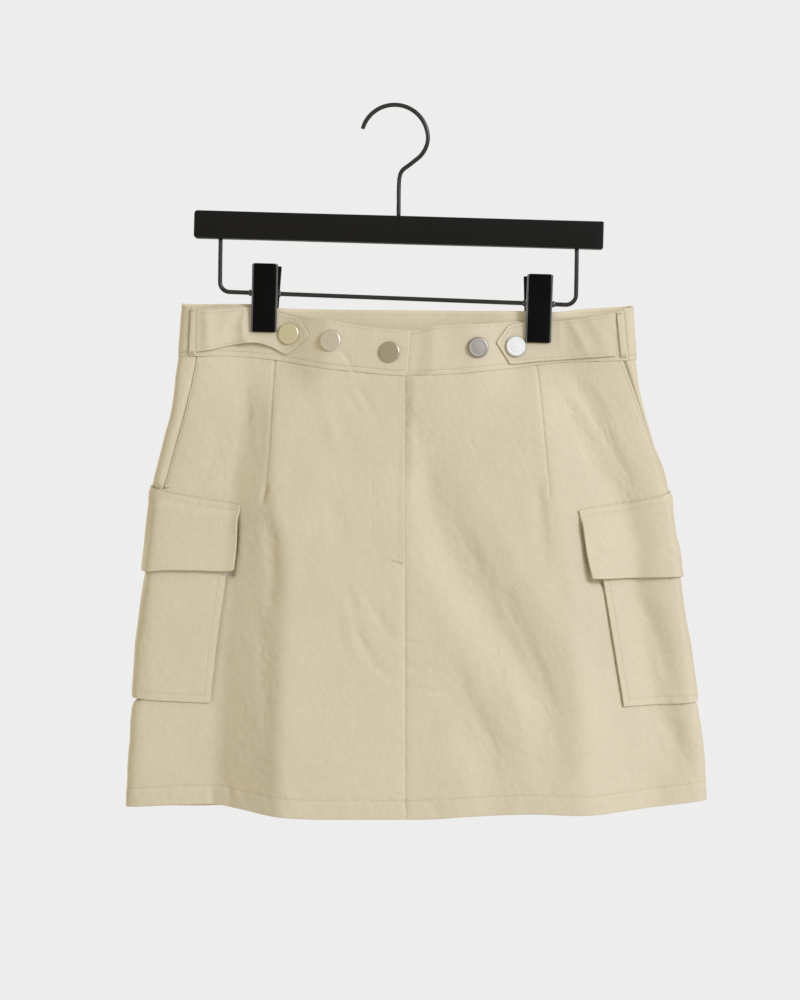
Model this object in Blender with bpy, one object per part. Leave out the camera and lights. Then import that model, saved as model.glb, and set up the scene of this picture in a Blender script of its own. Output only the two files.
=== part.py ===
"""Cargo mini skirt, hung by its waistband from a two-clip trouser hanger.

Lengths below are millimetres; MM turns them into metres at the end.
Axes: X to the wearer's left (the viewer's right), Y to the back, Z up.
Origin: the inside top of the hanger's hook, the point it hangs by.

The skirt is one flattened tube.  Its outer face is skin(a, z): z is the height
and a runs round the tube, 0 at the middle of the front, 1 at the viewer's
right side edge, 2 at the middle of the back, 3 (the same as -1) at the left
side edge.  Every cloth piece is a patch of that skin moved out or in along its
normal and given its wall, so neighbouring pieces keep one even gap.
"""

import math

import bmesh
import bpy
import numpy as np
from mathutils import Vector

for old in list(bpy.data.objects):
    bpy.data.objects.remove(old, do_unlink=True)

MM = 0.001

# ---------------------------------------------------------------- sizes, mm
GAP = 0.3            # between neighbouring pieces
WALL = 1.0           # one layer of the washed nylon-cotton cloth, with its ease
BAND_WALL = 2.0      # waistband: two layers and interlining
BAND_OUT = 0.5       # the band's face stands this far proud of the panels
TRIM_WALL = 1.5      # tabs and loops: two layers
POCKET_WALL = 1.3    # patch pocket with its turned edges
FLAP_WALL = 1.8      # pocket flap: two layers
FLY_WALL = 1.0
EDGE_POWER = 20      # how tightly the tube turns at its side edges
RAMP_ROUNDING = 0.2  # share of a slope that is rounded at each end
FRONT_SEAM_X = 9.2   # centre-front seam and fly edge

SNAP_R = 8.3         # 16.6 mm snap caps
WIRE_R = 1.75        # 3.5 mm hanger wire
BAR_SIZE = (327.0, 13.0, 22.0)
BAR_AT = (3.8, 0.0, -98.5)
HANGER_TILT = 1.6    # degrees, the whole hanger leans down to the right
JAW_WIDTH = 20.8
JAW_HEIGHT = 53.6

# ------------------------------------------------ cross-sections of the tube
# One row per level, from the band's top to the hem:
#  z        height
#  left     side edge, viewer's left          right    side edge, viewer's right
#  front    how far the middle of the front stands forward of the side edges
#  side     how far the cloth beside the side edge stands forward or back
#  foot_l, crest_l   where the slope on the left starts and where it tops out
#  crest_r, foot_r   the same on the right
#  back     how far the middle of the back stands behind the side edges
SECTION_COLUMNS = ("z", "left", "right", "front", "side", "foot_l", "crest_l",
                   "crest_r", "foot_r", "back")
SECTIONS = (
    (-150.0, -168.6, 190.4, 13.0, 8.0, -112.0, -40.0, 60.0, 122.0, 4.0),
    (-168.0, -170.2, 191.4, 13.5, 8.2, -114.0, -48.0, 68.0, 126.0, 5.0),
    (-201.0, -172.6, 193.9, 15.0, 8.5, -121.0, -72.0, 84.0, 140.0, 6.5),
    (-222.0, -174.2, 196.0, 17.0, 9.0, -124.0, -88.0, 108.0, 152.0, 8.0),
    (-242.0, -176.8, 200.8, 19.0, 9.0, -124.0, -90.0, 112.0, 165.0, 10.0),
    (-270.0, -184.3, 210.8, 22.0, 9.5, -126.0, -92.0, 115.0, 178.0, 12.0),
    (-304.0, -192.6, 220.6, 26.0, 10.0, -131.0, -92.0, 120.0, 188.0, 15.0),
    (-372.0, -199.8, 229.9, 31.5, 11.0, -136.0, -82.0, 130.0, 200.0, 19.0),
    (-426.0, -203.2, 236.0, 35.5, 11.0, -142.0, -84.0, 135.0, 205.0, 21.0),
    (-472.0, -206.6, 242.2, 38.5, 11.5, -145.0, -86.0, 140.0, 210.0, 23.0),
    (-522.0, -213.0, 248.8, 41.0, 12.0, -147.0, -85.0, 143.0, 214.0, 25.0),
    (-575.0, -214.8, 250.6, 42.5, 12.0, -147.0, -84.0, 145.0, 214.0, 26.0),
)

# Edges that run round the tube, as height against x.
SEAM_FRONT = ((-173.0, -200.5), (-136.0, -199.4), (-98.6, -202.1),
              (-51.2, -210.4), (-34.4, -212.0), (8.8, -215.6), (44.0, -214.4),
              (90.4, -209.6), (131.2, -204.6), (186.4, -203.2), (194.0, -202.4))
SEAM_BACK = ((-173.0, -200.5), (-90.0, -203.0), (11.0, -204.5), (110.0, -204.4),
             (194.0, -202.4))
BAND_TOP_FRONT = ((-173.0, -158.0), (-156.8, -161.5), (-120.0, -159.2),
                  (-103.2, -161.6), (-72.8, -167.2), (-52.0, -170.9),
                  (-31.2, -174.9), (12.8, -179.2), (35.2, -175.4),
                  (69.6, -174.1), (104.0, -170.8), (157.6, -167.0),
                  (182.4, -163.0), (194.0, -160.0))
BAND_TOP_BACK = ((-173.0, -157.0), (-115.2, -157.6), (-91.2, -161.0),
                 (11.2, -162.4), (103.2, -163.2), (127.2, -164.0),
                 (156.8, -160.8), (194.0, -158.6))
HEM = ((-215.0, -559.2), (-145.0, -556.6), (-126.0, -558.8), (-91.0, -564.0),
       (-52.0, -565.7), (25.0, -565.7), (58.0, -563.6), (110.0, -561.7),
       (148.0, -562.9), (205.0, -558.8), (251.0, -553.6))
HEM_BACK = ((-215.0, -559.2), (-120.0, -561.0), (18.0, -562.0),
            (150.0, -559.5), (251.0, -553.6))

# Largest soft folds: one row per station along a fold's line, with
# x, z, height (plus = ridge, minus = trough) and half-width.
FRONT_FOLDS = {
    "left_ridge": ((-88.0, -300.0, 0.0, 22.0), (-78.0, -372.0, 1.5, 22.0),
                   (-84.0, -440.0, 0.8, 22.0), (-80.0, -530.0, 1.6, 24.0),
                   (-79.0, -575.0, 2.0, 24.0)),
    "right_diagonal": ((22.0, -244.0, 0.0, 9.0), (25.0, -272.0, -1.6, 9.0),
                       (29.0, -312.0, -4.4, 14.0), (42.0, -354.0, -6.2, 19.0),
                       (68.0, -394.0, -6.4, 20.0), (93.0, -434.0, -6.0, 19.0),
                       (120.0, -476.0, -4.6, 16.0), (124.0, -520.0, -2.4, 16.0),
                       (122.0, -560.0, 0.0, 16.0)),
    "right_branch": ((40.0, -440.0, 0.0, 12.0), (52.0, -474.0, -2.5, 14.0),
                     (72.0, -508.0, -4.5, 16.0), (80.0, -540.0, -2.0, 17.0),
                     (84.0, -575.0, -1.0, 17.0)),
    "right_side_trough": ((126.0, -222.0, 0.0, 12.0), (140.0, -246.0, -3.0, 13.0),
                          (158.0, -274.0, -4.5, 14.0), (180.0, -314.0, -4.8, 14.0),
                          (191.0, -350.0, -3.5, 14.0), (190.0, -394.0, -4.6, 14.0),
                          (202.0, -434.0, -4.8, 15.0), (214.0, -474.0, -4.2, 15.0),
                          (223.0, -514.0, -3.4, 14.0), (232.0, -545.0, 0.0, 12.0)),
}
BACK_FOLDS = {
    "left_fall": ((-90.0, -250.0, 0.0, 22.0), (-104.0, -400.0, 5.0, 26.0),
                  (-118.0, -575.0, 9.0, 30.0)),
    "middle_valley": ((-18.0, -300.0, 0.0, 22.0), (-22.0, -430.0, -4.0, 24.0),
                      (-20.0, -575.0, -7.0, 28.0)),
    "right_fall": ((96.0, -240.0, 0.0, 20.0), (112.0, -420.0, 5.0, 26.0),
                   (128.0, -575.0, 8.0, 30.0)),
}

# Where the two clips press the front and back waistbands together.
# x of the clip, half of the flat held width, where the pull dies out
CLIPS = {
    "left": {"x": -103.3, "z": -152.5, "flat": 13.5, "reach": 46.0},
    "right": {"x": 115.8, "z": -161.0, "flat": 13.5, "reach": 46.0},
}
CLIP_DEPTH = 1.9                 # panel face off the middle plane at a clip
CLIP_FLAT_TO, CLIP_FADES_AT = -193.0, -252.0

# Lines up and down the tube, as x against height.
SLASH_LEFT = ((-200.0, -157.0), (-210.4, -158.6), (-304.4, -182.8))
SLASH_RIGHT = ((-202.0, 182.4), (-228.0, 191.8), (-278.4, 209.6), (-308.4, 220.4))
FLAP_LEFT_INNER = ((-318.4, -123.0), (-371.0, -128.8))
FLAP_RIGHT_INNER = ((-322.6, 147.0), (-377.4, 159.0))
POCKET_LEFT_INNER = ((-330.0, -129.6), (-372.8, -133.6), (-426.4, -141.0), (-477.0, -146.6))
POCKET_RIGHT_INNER = ((-334.0, 157.6), (-378.4, 165.4), (-479.4, 181.9))

# Cargo pockets wrap the side edge: heights at the inner edge and at the edge
# of the tube, for the flap's top and bottom and the pocket's top and bottom.
CARGO = {
    "left": {"flap_in": FLAP_LEFT_INNER, "pocket_in": POCKET_LEFT_INNER, "sign": -1,
             "flap_top": (-318.4, -302.4), "flap_bottom": (-371.0, -370.4),
             "pocket_top": (-331.4, -315.6), "pocket_bottom": (-477.0, -471.8)},
    "right": {"flap_in": FLAP_RIGHT_INNER, "pocket_in": POCKET_RIGHT_INNER, "sign": 1,
              "flap_top": (-322.6, -306.4), "flap_bottom": (-377.4, -375.6),
              "pocket_top": (-335.6, -319.4), "pocket_bottom": (-479.4, -475.0)},
}

# Pointed waist tabs: top and bottom edges, as height against x.
TABS = {
    "left": {"sign": 1,
             "top": ((-157.4, -163.4), (-138.0, -161.8), (-120.0, -160.4), (-103.2, -162.6),
                     (-86.0, -166.0), (-76.0, -168.2), (-67.4, -181.6)),
             "bottom": ((-157.4, -196.4), (-150.0, -195.4), (-123.2, -189.8), (-111.5, -188.8),
                        (-98.6, -192.2), (-84.8, -198.6), (-67.4, -184.0))},
    "right": {"sign": -1,
              "top": ((81.5, -187.6), (90.4, -175.4), (103.2, -172.4), (126.4, -171.6),
                      (156.8, -168.4), (176.6, -165.4)),
              "bottom": ((81.5, -190.0), (92.2, -206.6), (116.8, -204.2), (150.0, -201.6),
                         (176.6, -199.8))},
}
LOOPS = {"left": {"x_top": (-161.7, -157.8), "x_bottom": (-163.6, -157.8), "z": (-162.0, -198.4)},
         "right": {"x_top": (177.2, 182.6), "x_bottom": (180.8, 186.4), "z": (-164.6, -200.6)}}
BAND_SEAM_LEFT = ((-158.0, -162.2), (-202.0, -164.2))
BAND_SEAM_RIGHT = ((-160.0, 183.0), (-204.0, 187.2))

# Snap caps: x, z, and how far their seat stands off the panel face.
ON_BAND = BAND_OUT + 0.45
ON_TAB = BAND_OUT + GAP + 0.15 + TRIM_WALL + 0.45
SNAPS = {
    "snap_tab_left": (-83.9, -181.6, ON_TAB),
    "snap_spare_left": (-50.6, -187.7, ON_BAND),
    "snap_front": (-3.7, -196.8, ON_BAND),
    "snap_spare_right": (66.6, -193.2, ON_BAND),
    "snap_tab_right": (96.8, -192.0, ON_TAB),
}


# --------------------------------------------------------------- smooth maths
def smooth(rows, x):
    """A smooth curve through (x, y) rows that never overshoots them."""
    pts = np.array(sorted(rows), dtype=float)
    xs, ys = pts[:, 0], pts[:, 1]
    step = np.diff(ys) / np.diff(xs)
    slope = np.zeros_like(ys)
    slope[0], slope[-1] = step[0], step[-1]
    for i in range(1, len(xs) - 1):
        a, b = step[i - 1], step[i]
        slope[i] = 2 * a * b / (a + b) if a * b > 0 else 0.0
    x = np.asarray(x, dtype=float)
    i = np.clip(np.searchsorted(xs, x) - 1, 0, len(xs) - 2)
    h = xs[i + 1] - xs[i]
    t = np.clip((x - xs[i]) / h, 0.0, 1.0)
    t2, t3 = t * t, t * t * t
    return ((2 * t3 - 3 * t2 + 1) * ys[i] + (t3 - 2 * t2 + t) * h * slope[i]
            + (3 * t2 - 2 * t3) * ys[i + 1] + (t3 - t2) * h * slope[i + 1])


def ease(t):
    t = np.clip(t, 0.0, 1.0)
    return t * t * (3 - 2 * t)


def ramp(t):
    """From 0 to 1 at an even slope, with only its two ends rounded."""
    t = np.clip(t, 0.0, 1.0)
    r = RAMP_ROUNDING
    slope = 1 / (1 - r)
    middle = slope * (t - r / 2)
    start, end = slope * t * t / (2 * r), 1 - slope * (1 - t) ** 2 / (2 * r)
    return np.where(t < r, start, np.where(t > 1 - r, end, middle))


def section(name, z):
    k = SECTION_COLUMNS.index(name)
    return smooth([(row[0], row[k]) for row in SECTIONS], z)


def fold_height(folds, x, z):
    """Sum of the soft ridges and troughs at (x, z)."""
    total = np.zeros(np.broadcast(x, z).shape)
    for rows in folds.values():
        rows = np.array(rows)
        best = np.full(total.shape, 1e9)
        height = np.zeros(total.shape)
        width = np.ones(total.shape)
        for (x0, z0, h0, w0), (x1, z1, h1, w1) in zip(rows[:-1], rows[1:]):
            dx, dz = x1 - x0, z1 - z0
            t = np.clip(((x - x0) * dx + (z - z0) * dz) / (dx * dx + dz * dz), 0, 1)
            d = np.hypot(x - x0 - t * dx, z - z0 - t * dz)
            near = d < best
            best = np.where(near, d, best)
            height = np.where(near, h0 + (h1 - h0) * ease(t), height)
            width = np.where(near, w0 + (w1 - w0) * t, width)
        total = total + height * np.exp(-(best / width) ** 2)
    return total


def clip_hold(x, z):
    """1 where a clip holds the cloth flat, fading to 0 around it."""
    hold = np.zeros(np.broadcast(x, z).shape)
    down = ease((z - CLIP_FADES_AT) / (CLIP_FLAT_TO - CLIP_FADES_AT))
    for clip in CLIPS.values():
        away = np.abs(x - clip["x"])
        hold = np.maximum(hold, 1 - ease((away - clip["flat"]) / (clip["reach"] - clip["flat"])))
    return hold * down


def face(a, z):
    """Outer face of the tube, an array of points."""
    a, z = np.broadcast_arrays(np.asarray(a, float), np.asarray(z, float))
    q = np.sin(a * math.pi / 2)
    front = np.cos(a * math.pi / 2) >= 0
    left, right = section("left", z), section("right", z)
    x = (left + right) / 2 + (right - left) / 2 * q
    turn = np.sqrt(np.clip(1 - np.abs(q) ** EDGE_POWER, 0, 1))
    side = section("side", z)
    slope_l = ramp((x - section("foot_l", z)) / (section("crest_l", z) - section("foot_l", z)))
    slope_r = ramp((section("foot_r", z) - x) / (section("foot_r", z) - section("crest_r", z)))
    forward = side + (section("front", z) - side) * slope_l * slope_r
    behind = side + (section("back", z) - side) * ease((0.92 - np.abs(q)) / 0.5)
    calm = ease((1 - np.abs(q)) / 0.12)
    forward = forward + fold_height(FRONT_FOLDS, x, z) * calm
    behind = behind + fold_height(BACK_FOLDS, x, z) * calm
    hold = clip_hold(x, z)
    forward = forward + (CLIP_DEPTH - forward) * hold
    behind = behind + (CLIP_DEPTH - behind) * hold
    y = np.where(front, -forward, behind) * turn
    return np.stack((x, y, z), axis=-1)


def skin(a, z, out):
    """The tube's face moved out along its normal by out."""
    a, z, out = np.broadcast_arrays(np.asarray(a, float), np.asarray(z, float),
                                    np.asarray(out, float))
    da, dz = 0.002, 0.5
    along = face(a + da, z) - face(a - da, z)
    up = face(a, z + dz) - face(a, z - dz)
    n = np.cross(along, up)
    n /= np.linalg.norm(n, axis=-1, keepdims=True)
    return face(a, z) + n * out[..., None]


def a_of_x(x, z):
    """Where round the front the tube has this x."""
    left, right = section("left", z), section("right", z)
    q = np.clip((x - (left + right) / 2) / ((right - left) / 2), -1, 1)
    return np.arcsin(q) * 2 / math.pi


def x_of_a(a, z):
    left, right = section("left", z), section("right", z)
    return (left + right) / 2 + (right - left) / 2 * np.sin(np.asarray(a) * math.pi / 2)


def gap_a(a, z, width):
    """The step in a that moves this far round the tube."""
    step = 0.002
    return width * 2 * step / np.linalg.norm(face(a + step, z) - face(a - step, z), axis=-1)


# ---------------------------------------------------------------- mesh makers
def material(name, colour, roughness, metallic=0.0):
    mat = bpy.data.materials.new(name)
    mat.use_nodes = True
    shader = mat.node_tree.nodes["Principled BSDF"]
    shader.inputs["Base Color"].default_value = (*colour, 1.0)
    shader.inputs["Roughness"].default_value = roughness
    shader.inputs["Metallic"].default_value = metallic
    mat.diffuse_color = (*colour, 1.0)
    return mat


CLOTH = (0.62, 0.54, 0.39)
LOOKS = {"cloth": (CLOTH, 0.85, 0.0), "snap": ((0.55, 0.52, 0.46), 0.35, 1.0),
         "black_plastic": ((0.012, 0.012, 0.013), 0.4, 0.0),
         "black_wire": ((0.02, 0.02, 0.022), 0.35, 0.2),
         "steel": ((0.55, 0.55, 0.56), 0.35, 1.0)}


def add_object(name, mesh, look):
    ob = bpy.data.objects.new(name, mesh)
    ob.data.materials.append(material(name + "_material", *LOOKS[look]))
    bpy.context.scene.collection.objects.link(ob)
    return ob


def cloth(name, a, z, outer, inner):
    """A closed cloth wall: rows run down the piece and columns round it."""
    rows, cols = a.shape
    points = [skin(a, z, outer), skin(a, z, inner)]
    bm = bmesh.new()
    grid = [[[bm.verts.new(Vector(p[j, i]) * MM) for i in range(cols)] for j in range(rows)]
            for p in points]

    def quad(v0, v1, v2, v3):
        bm.faces.new((v0, v1, v2))
        bm.faces.new((v0, v2, v3))

    top, low = grid
    for j in range(rows - 1):
        for i in range(cols - 1):
            quad(top[j][i], top[j + 1][i], top[j + 1][i + 1], top[j][i + 1])
            bm.faces.new((low[j][i], low[j + 1][i + 1], low[j + 1][i]))
            bm.faces.new((low[j][i], low[j][i + 1], low[j + 1][i + 1]))
    for i in range(cols - 1):
        quad(low[0][i], top[0][i], top[0][i + 1], low[0][i + 1])
        quad(top[-1][i], low[-1][i], low[-1][i + 1], top[-1][i + 1])
    for j in range(rows - 1):
        quad(top[j][0], low[j][0], low[j + 1][0], top[j + 1][0])
        quad(low[j][-1], top[j][-1], top[j + 1][-1], low[j + 1][-1])
    mesh = bpy.data.meshes.new(name)
    bm.to_mesh(mesh)
    bm.free()
    return add_object(name, mesh, "cloth")


def patch(rows, cols, a_start, a_end, z_top, z_bottom, stations=None):
    """Grid of (a, z).  a_start and a_end give the end columns at each height;
    z_top and z_bottom give the end rows at each a.  stations, if given, are
    fixed columns between the ends; otherwise cols columns are spread evenly."""
    v = np.linspace(0, 1, rows)[:, None]
    count = cols if stations is None else len(stations) + 2
    a = np.zeros((rows, count))
    z = np.zeros((rows, count)) - 300.0
    for _ in range(8):
        first, last = a_start(z[:, 0]), a_end(z[:, -1])
        if stations is None:
            a = first[:, None] + (last - first)[:, None] * np.linspace(0, 1, count)[None, :]
        else:
            a = np.concatenate((first[:, None], np.tile(stations, (rows, 1)), last[:, None]), axis=1)
        z = z_top(a) * (1 - v) + z_bottom(a) * v
    return a, z


# ---------------------------------------------------------------- the panels
INNER = {-1: (0.08, 0.16, 0.24, 0.31, 0.36, 0.40, 0.44, 0.47, 0.50, 0.53, 0.56, 0.60, 0.64),
         1: (0.08, 0.16, 0.24, 0.31, 0.38, 0.44, 0.50, 0.56, 0.64)}
RING = (0.10, 0.20, 0.29, 0.38, 0.47, 0.56, 0.64, 0.72, 0.79, 0.86, 0.93)
# the back waistband's columns, closer together behind the clips
BAND_RING = {"right": (0.10, 0.20, 0.28, 0.33, 0.355, 0.393, 0.43, 0.455, 0.50, 0.57, 0.64,
                       0.72, 0.79, 0.86, 0.93),
             "left": (0.10, 0.20, 0.30, 0.37, 0.395, 0.435, 0.475, 0.50, 0.55, 0.60, 0.66,
                      0.72, 0.79, 0.86, 0.93)}
# columns of the front waistband and of the tabs that lie on it, close together
# where the clips pinch the cloth, as x
BAND_X = {-1: (-150.0, -142.0, -134.0, -127.0, -120.0, -114.0, -103.0, -93.0, -86.0, -79.0,
               -72.0, -60.0, -46.0, -30.0, -14.0, 0.0),
          1: (-12.0, 0.0, 11.0, 16.0, 20.0, 24.0, 28.0, 32.0, 36.0, 48.0, 62.0, 74.0, 83.0,
              92.0, 99.0, 105.0, 116.0, 127.0, 133.0, 140.0, 148.0, 156.0, 166.0)}


def front_seam(side, half_gap=GAP / 2):
    """Columns along the centre-front seam, on the given side of it."""
    return lambda z: a_of_x(FRONT_SEAM_X + side * half_gap, z)


def seam_z(a):
    """Lower edge of the waistband, round the whole tube."""
    x = x_of_a(a, -205.0)
    back = smooth(SEAM_BACK, x)
    front = smooth(SEAM_FRONT, x)
    forward = ease((np.cos(np.asarray(a) * math.pi / 2) + 0.10) / 0.20)
    return back + (front - back) * forward


def hem_z(a):
    x = x_of_a(a, -560.0)
    forward = ease((np.cos(np.asarray(a) * math.pi / 2) + 0.10) / 0.20)
    back = smooth(HEM_BACK, x)
    return back + (smooth(HEM, x) - back) * forward


def front_panel(name, sign):
    """From the centre-front seam to the slash pocket, and below the slash to
    the side seam.  sign is -1 on the viewer's left."""
    slash = SLASH_LEFT if sign < 0 else SLASH_RIGHT
    slash_end = slash[-1][0]

    def outer_edge(z):
        along_slash = a_of_x(smooth(slash, z), z)
        side_seam = sign * (1 - gap_a(np.full_like(z, sign * 1.0), z, GAP / 2))
        return np.where(z > slash_end, along_slash, side_seam)

    # rows: one close pair either side of the slash's end, the rest even
    upper = np.linspace(0.0, 1.0, 6)
    lower = np.linspace(0.0, 1.0, 12)
    inner_edge = front_seam(sign)
    stations = np.array(INNER[sign]) * sign
    fan = np.array((0.25, 0.5, 0.75))
    edge_station = 0.72 * sign
    a_rows, z_rows = [], []
    z_cut = slash_end
    for level, share in [("upper", u) for u in upper] + [("lower", u) for u in lower]:
        z_guess = np.full(len(stations) + 6, z_cut)
        for _ in range(6):
            edge_a = outer_edge(np.array([z_guess[-1] - (0.01 if level == "lower" else -0.01)]))[0]
            first = inner_edge(np.array([z_guess[0]]))[0]
            fans = edge_station + (edge_a - edge_station) * fan
            a_row = np.concatenate(([first], stations, [edge_station], fans, [edge_a]))
            if level == "upper":
                z_row = (seam_z(a_row) - GAP / 2) * (1 - share) + z_cut * share
            else:
                z_row = (z_cut - 5.0) * (1 - share) + hem_z(a_row) * share
            z_guess = z_row
        a_rows.append(a_row)
        z_rows.append(z_row)
    a, z = np.array(a_rows), np.array(z_rows)
    if sign < 0:
        a, z = a[:, ::-1], z[:, ::-1]
    out = np.zeros_like(a)
    if sign > 0:
        # beside the fly the right front lies a little under the left one
        x = x_of_a(a, z)
        out = -1.0 * (1 - ease((x - FRONT_SEAM_X) / 14.0)) * ease((z + 400.0) / 40.0)
    return cloth(name, a, z, out, out - WALL)


def side_piece(name, sign):
    """Pocket side piece showing outside the slash, carried on under the front."""
    slash = SLASH_LEFT if sign < 0 else SLASH_RIGHT
    low = slash[-1][0] + 0.4

    def under(z):
        return a_of_x(smooth(slash, z) - sign * 10.0, z)

    def edge(z):
        return sign * (1 - gap_a(np.full_like(z, sign * 1.0), z, GAP / 2))

    first, last = (edge, under) if sign < 0 else (under, edge)
    a, z = patch(8, 6, first, last, lambda a: seam_z(a) - GAP / 2, lambda a: low + 0 * a)
    out = -WALL - GAP - 0.5 * ease((-262.0 - z) / 30.0)
    return cloth(name, a, z, out, out - WALL)


def back_panel():
    low, high = (lambda z: 1 + gap_a(np.full_like(z, 1.0), z, GAP / 2),
                 lambda z: 3 - gap_a(np.full_like(z, 3.0), z, GAP / 2))
    near = np.array(RING[::-1])
    stations = np.concatenate((2 - near, [2.0], 2 + near[::-1]))
    a, z = patch(14, None, low, high, lambda a: seam_z(a) - GAP / 2, hem_z, stations)
    return cloth("back", a, z, 0 * a, 0 * a - WALL)


def band_back_top_z(a):
    return smooth(BAND_TOP_BACK, x_of_a(a, -160.0))


def band_patch(start, end, inner_x):
    """Four rows from the band's top to its seam, columns at the given x."""
    v = np.linspace(0, 1, 4)[:, None]
    z = np.full((4, len(inner_x) + 2), -185.0)
    for _ in range(6):
        x = np.concatenate((start(z[:, :1]), np.tile(inner_x, (4, 1)), end(z[:, -1:])), axis=1)
        top = smooth(BAND_TOP_FRONT, x[:1])
        low = smooth(SEAM_FRONT, x[-1:]) + GAP / 2
        z = top * (1 - v) + low * v
    return a_of_x(x, z), z


def band_front_left():
    """Viewer's left front band; its end laps over the other at the front."""
    start = lambda z: smooth(BAND_SEAM_LEFT, z) + GAP / 2
    end = lambda z: 13.4 + (z + 179.0) * 0.08
    a, z = band_patch(start, end, BAND_X[-1])
    return cloth("waistband_front_left", a, z, 0 * a + BAND_OUT, 0 * a + BAND_OUT - BAND_WALL)


def band_front_right():
    """Viewer's right front band, with its hidden end under the left one."""
    start = lambda z: -24.0 + 0 * z
    end = lambda z: smooth(BAND_SEAM_RIGHT, z) - GAP / 2
    a, z = band_patch(start, end, BAND_X[1])
    under = (BAND_WALL + GAP + 0.1) * (1 - ease((x_of_a(a, z) - 17.0) / 16.0))
    return cloth("waistband_front_right", a, z, BAND_OUT - under, BAND_OUT - BAND_WALL - under)


def band_back():
    start = lambda z: a_of_x(smooth(BAND_SEAM_RIGHT, z) + GAP / 2, z)
    end = lambda z: 4 + a_of_x(smooth(BAND_SEAM_LEFT, z) - GAP / 2, z)
    stations = np.concatenate(([0.87, 0.93, 1.0], 2 - np.array(BAND_RING["right"][::-1]), [2.0],
                               2 + np.array(BAND_RING["left"]), [3.0, 3.07, 3.13]))

    def top(a):
        wrap = ease((np.cos(a * math.pi / 2) + 0.02) / 0.2)
        return band_back_top_z(a) - 2.2 * wrap

    a, z = patch(4, None, start, end, top, lambda a: seam_z(a) + GAP / 2, stations)
    return cloth("waistband_back", a, z, 0 * a + BAND_OUT, 0 * a + BAND_OUT - BAND_WALL)


# ------------------------------------------------------------- fly and its zip
def fly_pieces():
    top = lambda a: seam_z(a) - GAP / 2 - 0.3
    out = -WALL - GAP
    a, z = patch(9, 3, lambda z: a_of_x(-14.0, z), lambda z: a_of_x(FRONT_SEAM_X - 1.2, z), top,
                 lambda a: -360.0 + 0 * a)
    cloth("fly_zip", a, z, out + 0 * a, out - 0.8 + 0 * a)
    deeper = out - 0.8 - GAP - 0.4
    a, z = patch(9, 4, lambda z: a_of_x(-24.0, z), lambda z: a_of_x(15.0, z), top,
                 lambda a: -367.0 + 0 * a)
    cloth("fly_underlap", a, z, deeper + 0 * a, deeper - FLY_WALL + 0 * a)


# ------------------------------------------------------- cargo pockets, flaps
def cargo(side):
    """Patch pocket and flap, both wrapped round the side edge."""
    row = CARGO[side]
    sign = row["sign"]
    front = (0.53, 0.56, 0.60, 0.64) if sign < 0 else (0.56, 0.64)
    round_edge = (0.72, 0.79, 0.86, 0.93, 1.0, 1.07, 1.14, 1.21, 1.28, 1.36, 1.44)
    stations_pocket = np.array(front + round_edge) * sign
    stations_flap = np.array((0.50,) + front + round_edge + (1.50,)) * sign

    def height(pair):
        inner, edge = pair
        inner_a = abs(float(a_of_x(row["flap_in"][0][1], inner)))
        return lambda a: inner + (edge - inner) * np.clip((1 - np.abs(np.abs(a) - 1) - inner_a)
                                                          / (1 - inner_a), -0.1, 1) ** 0.9

    def tidy(pair):
        f = height(pair)
        return lambda a: np.where(np.isfinite(f(a)), f(a), pair[0])

    def ends(line):
        near = lambda z: a_of_x(smooth(line, z), z)
        far = lambda z: sign * 2 - near(z)
        return (near, far)

    # the pocket, a little fuller in the middle of each face
    near, far = ends(row["pocket_in"])
    a, z = patch(9, None, near, far, tidy(row["pocket_top"]), tidy(row["pocket_bottom"]),
                 stations_pocket)
    u = (np.abs(a) - np.abs(a[:, :1])) / (np.abs(a[:, -1:]) - np.abs(a[:, :1]))
    v = np.linspace(0, 1, a.shape[0])[:, None] + 0 * a
    full = 1.6 * np.sin(math.pi * v) ** 0.8 * np.sin(math.pi * np.clip(u, 0, 1)) ** 0.8
    seat = 0.6 + full
    if sign < 0:
        a, z, seat = a[:, ::-1], z[:, ::-1], seat[:, ::-1]
    cloth("cargo_pocket_" + side, a, z, seat + POCKET_WALL, seat)

    # the flap: stitched down at its top, over the pocket below
    near, far = ends(row["flap_in"])
    a, z = patch(9, None, near, far, tidy(row["flap_top"]), tidy(row["flap_bottom"]), stations_flap)
    fall = tidy(row["flap_top"])(a) - z
    lift = ease((fall - 4.0) / 9.0)
    hang = ease((fall - 25.0) / 45.0)
    seat = 0.6 + (POCKET_WALL + GAP + 0.75) * lift + 2.1 * hang
    if sign < 0:
        a, z, seat = a[:, ::-1], z[:, ::-1], seat[:, ::-1]
    cloth("pocket_flap_" + side, a, z, seat + FLAP_WALL, seat)


# --------------------------------------------------------------- tabs, loops
def tab(side):
    row = TABS[side]
    first, last = row["top"][0][0], row["top"][-1][0]
    xs = [x for x in BAND_X[-row["sign"]] if first + 2 < x < last - 2]
    xs = np.array([first] + xs + [last])
    top = np.interp(xs, *zip(*row["top"]))
    low = np.interp(xs, *zip(*row["bottom"]))
    v = np.linspace(0, 1, 5)[:, None]
    z = top[None, :] * (1 - v) + low[None, :] * v
    a = a_of_x(np.tile(xs, (5, 1)), z)
    seat = np.full_like(z, BAND_OUT + GAP + 0.15)
    if side == "left":
        # below the clip the tab's lower edge buckles forward
        seat = seat + 3.0 * ease((-180.5 - z) / 9.0) * np.exp(-((xs[None, :] + 113.0) / 15.0) ** 2)
    cloth("waist_tab_" + side, a, z, seat + TRIM_WALL, seat)


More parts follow.
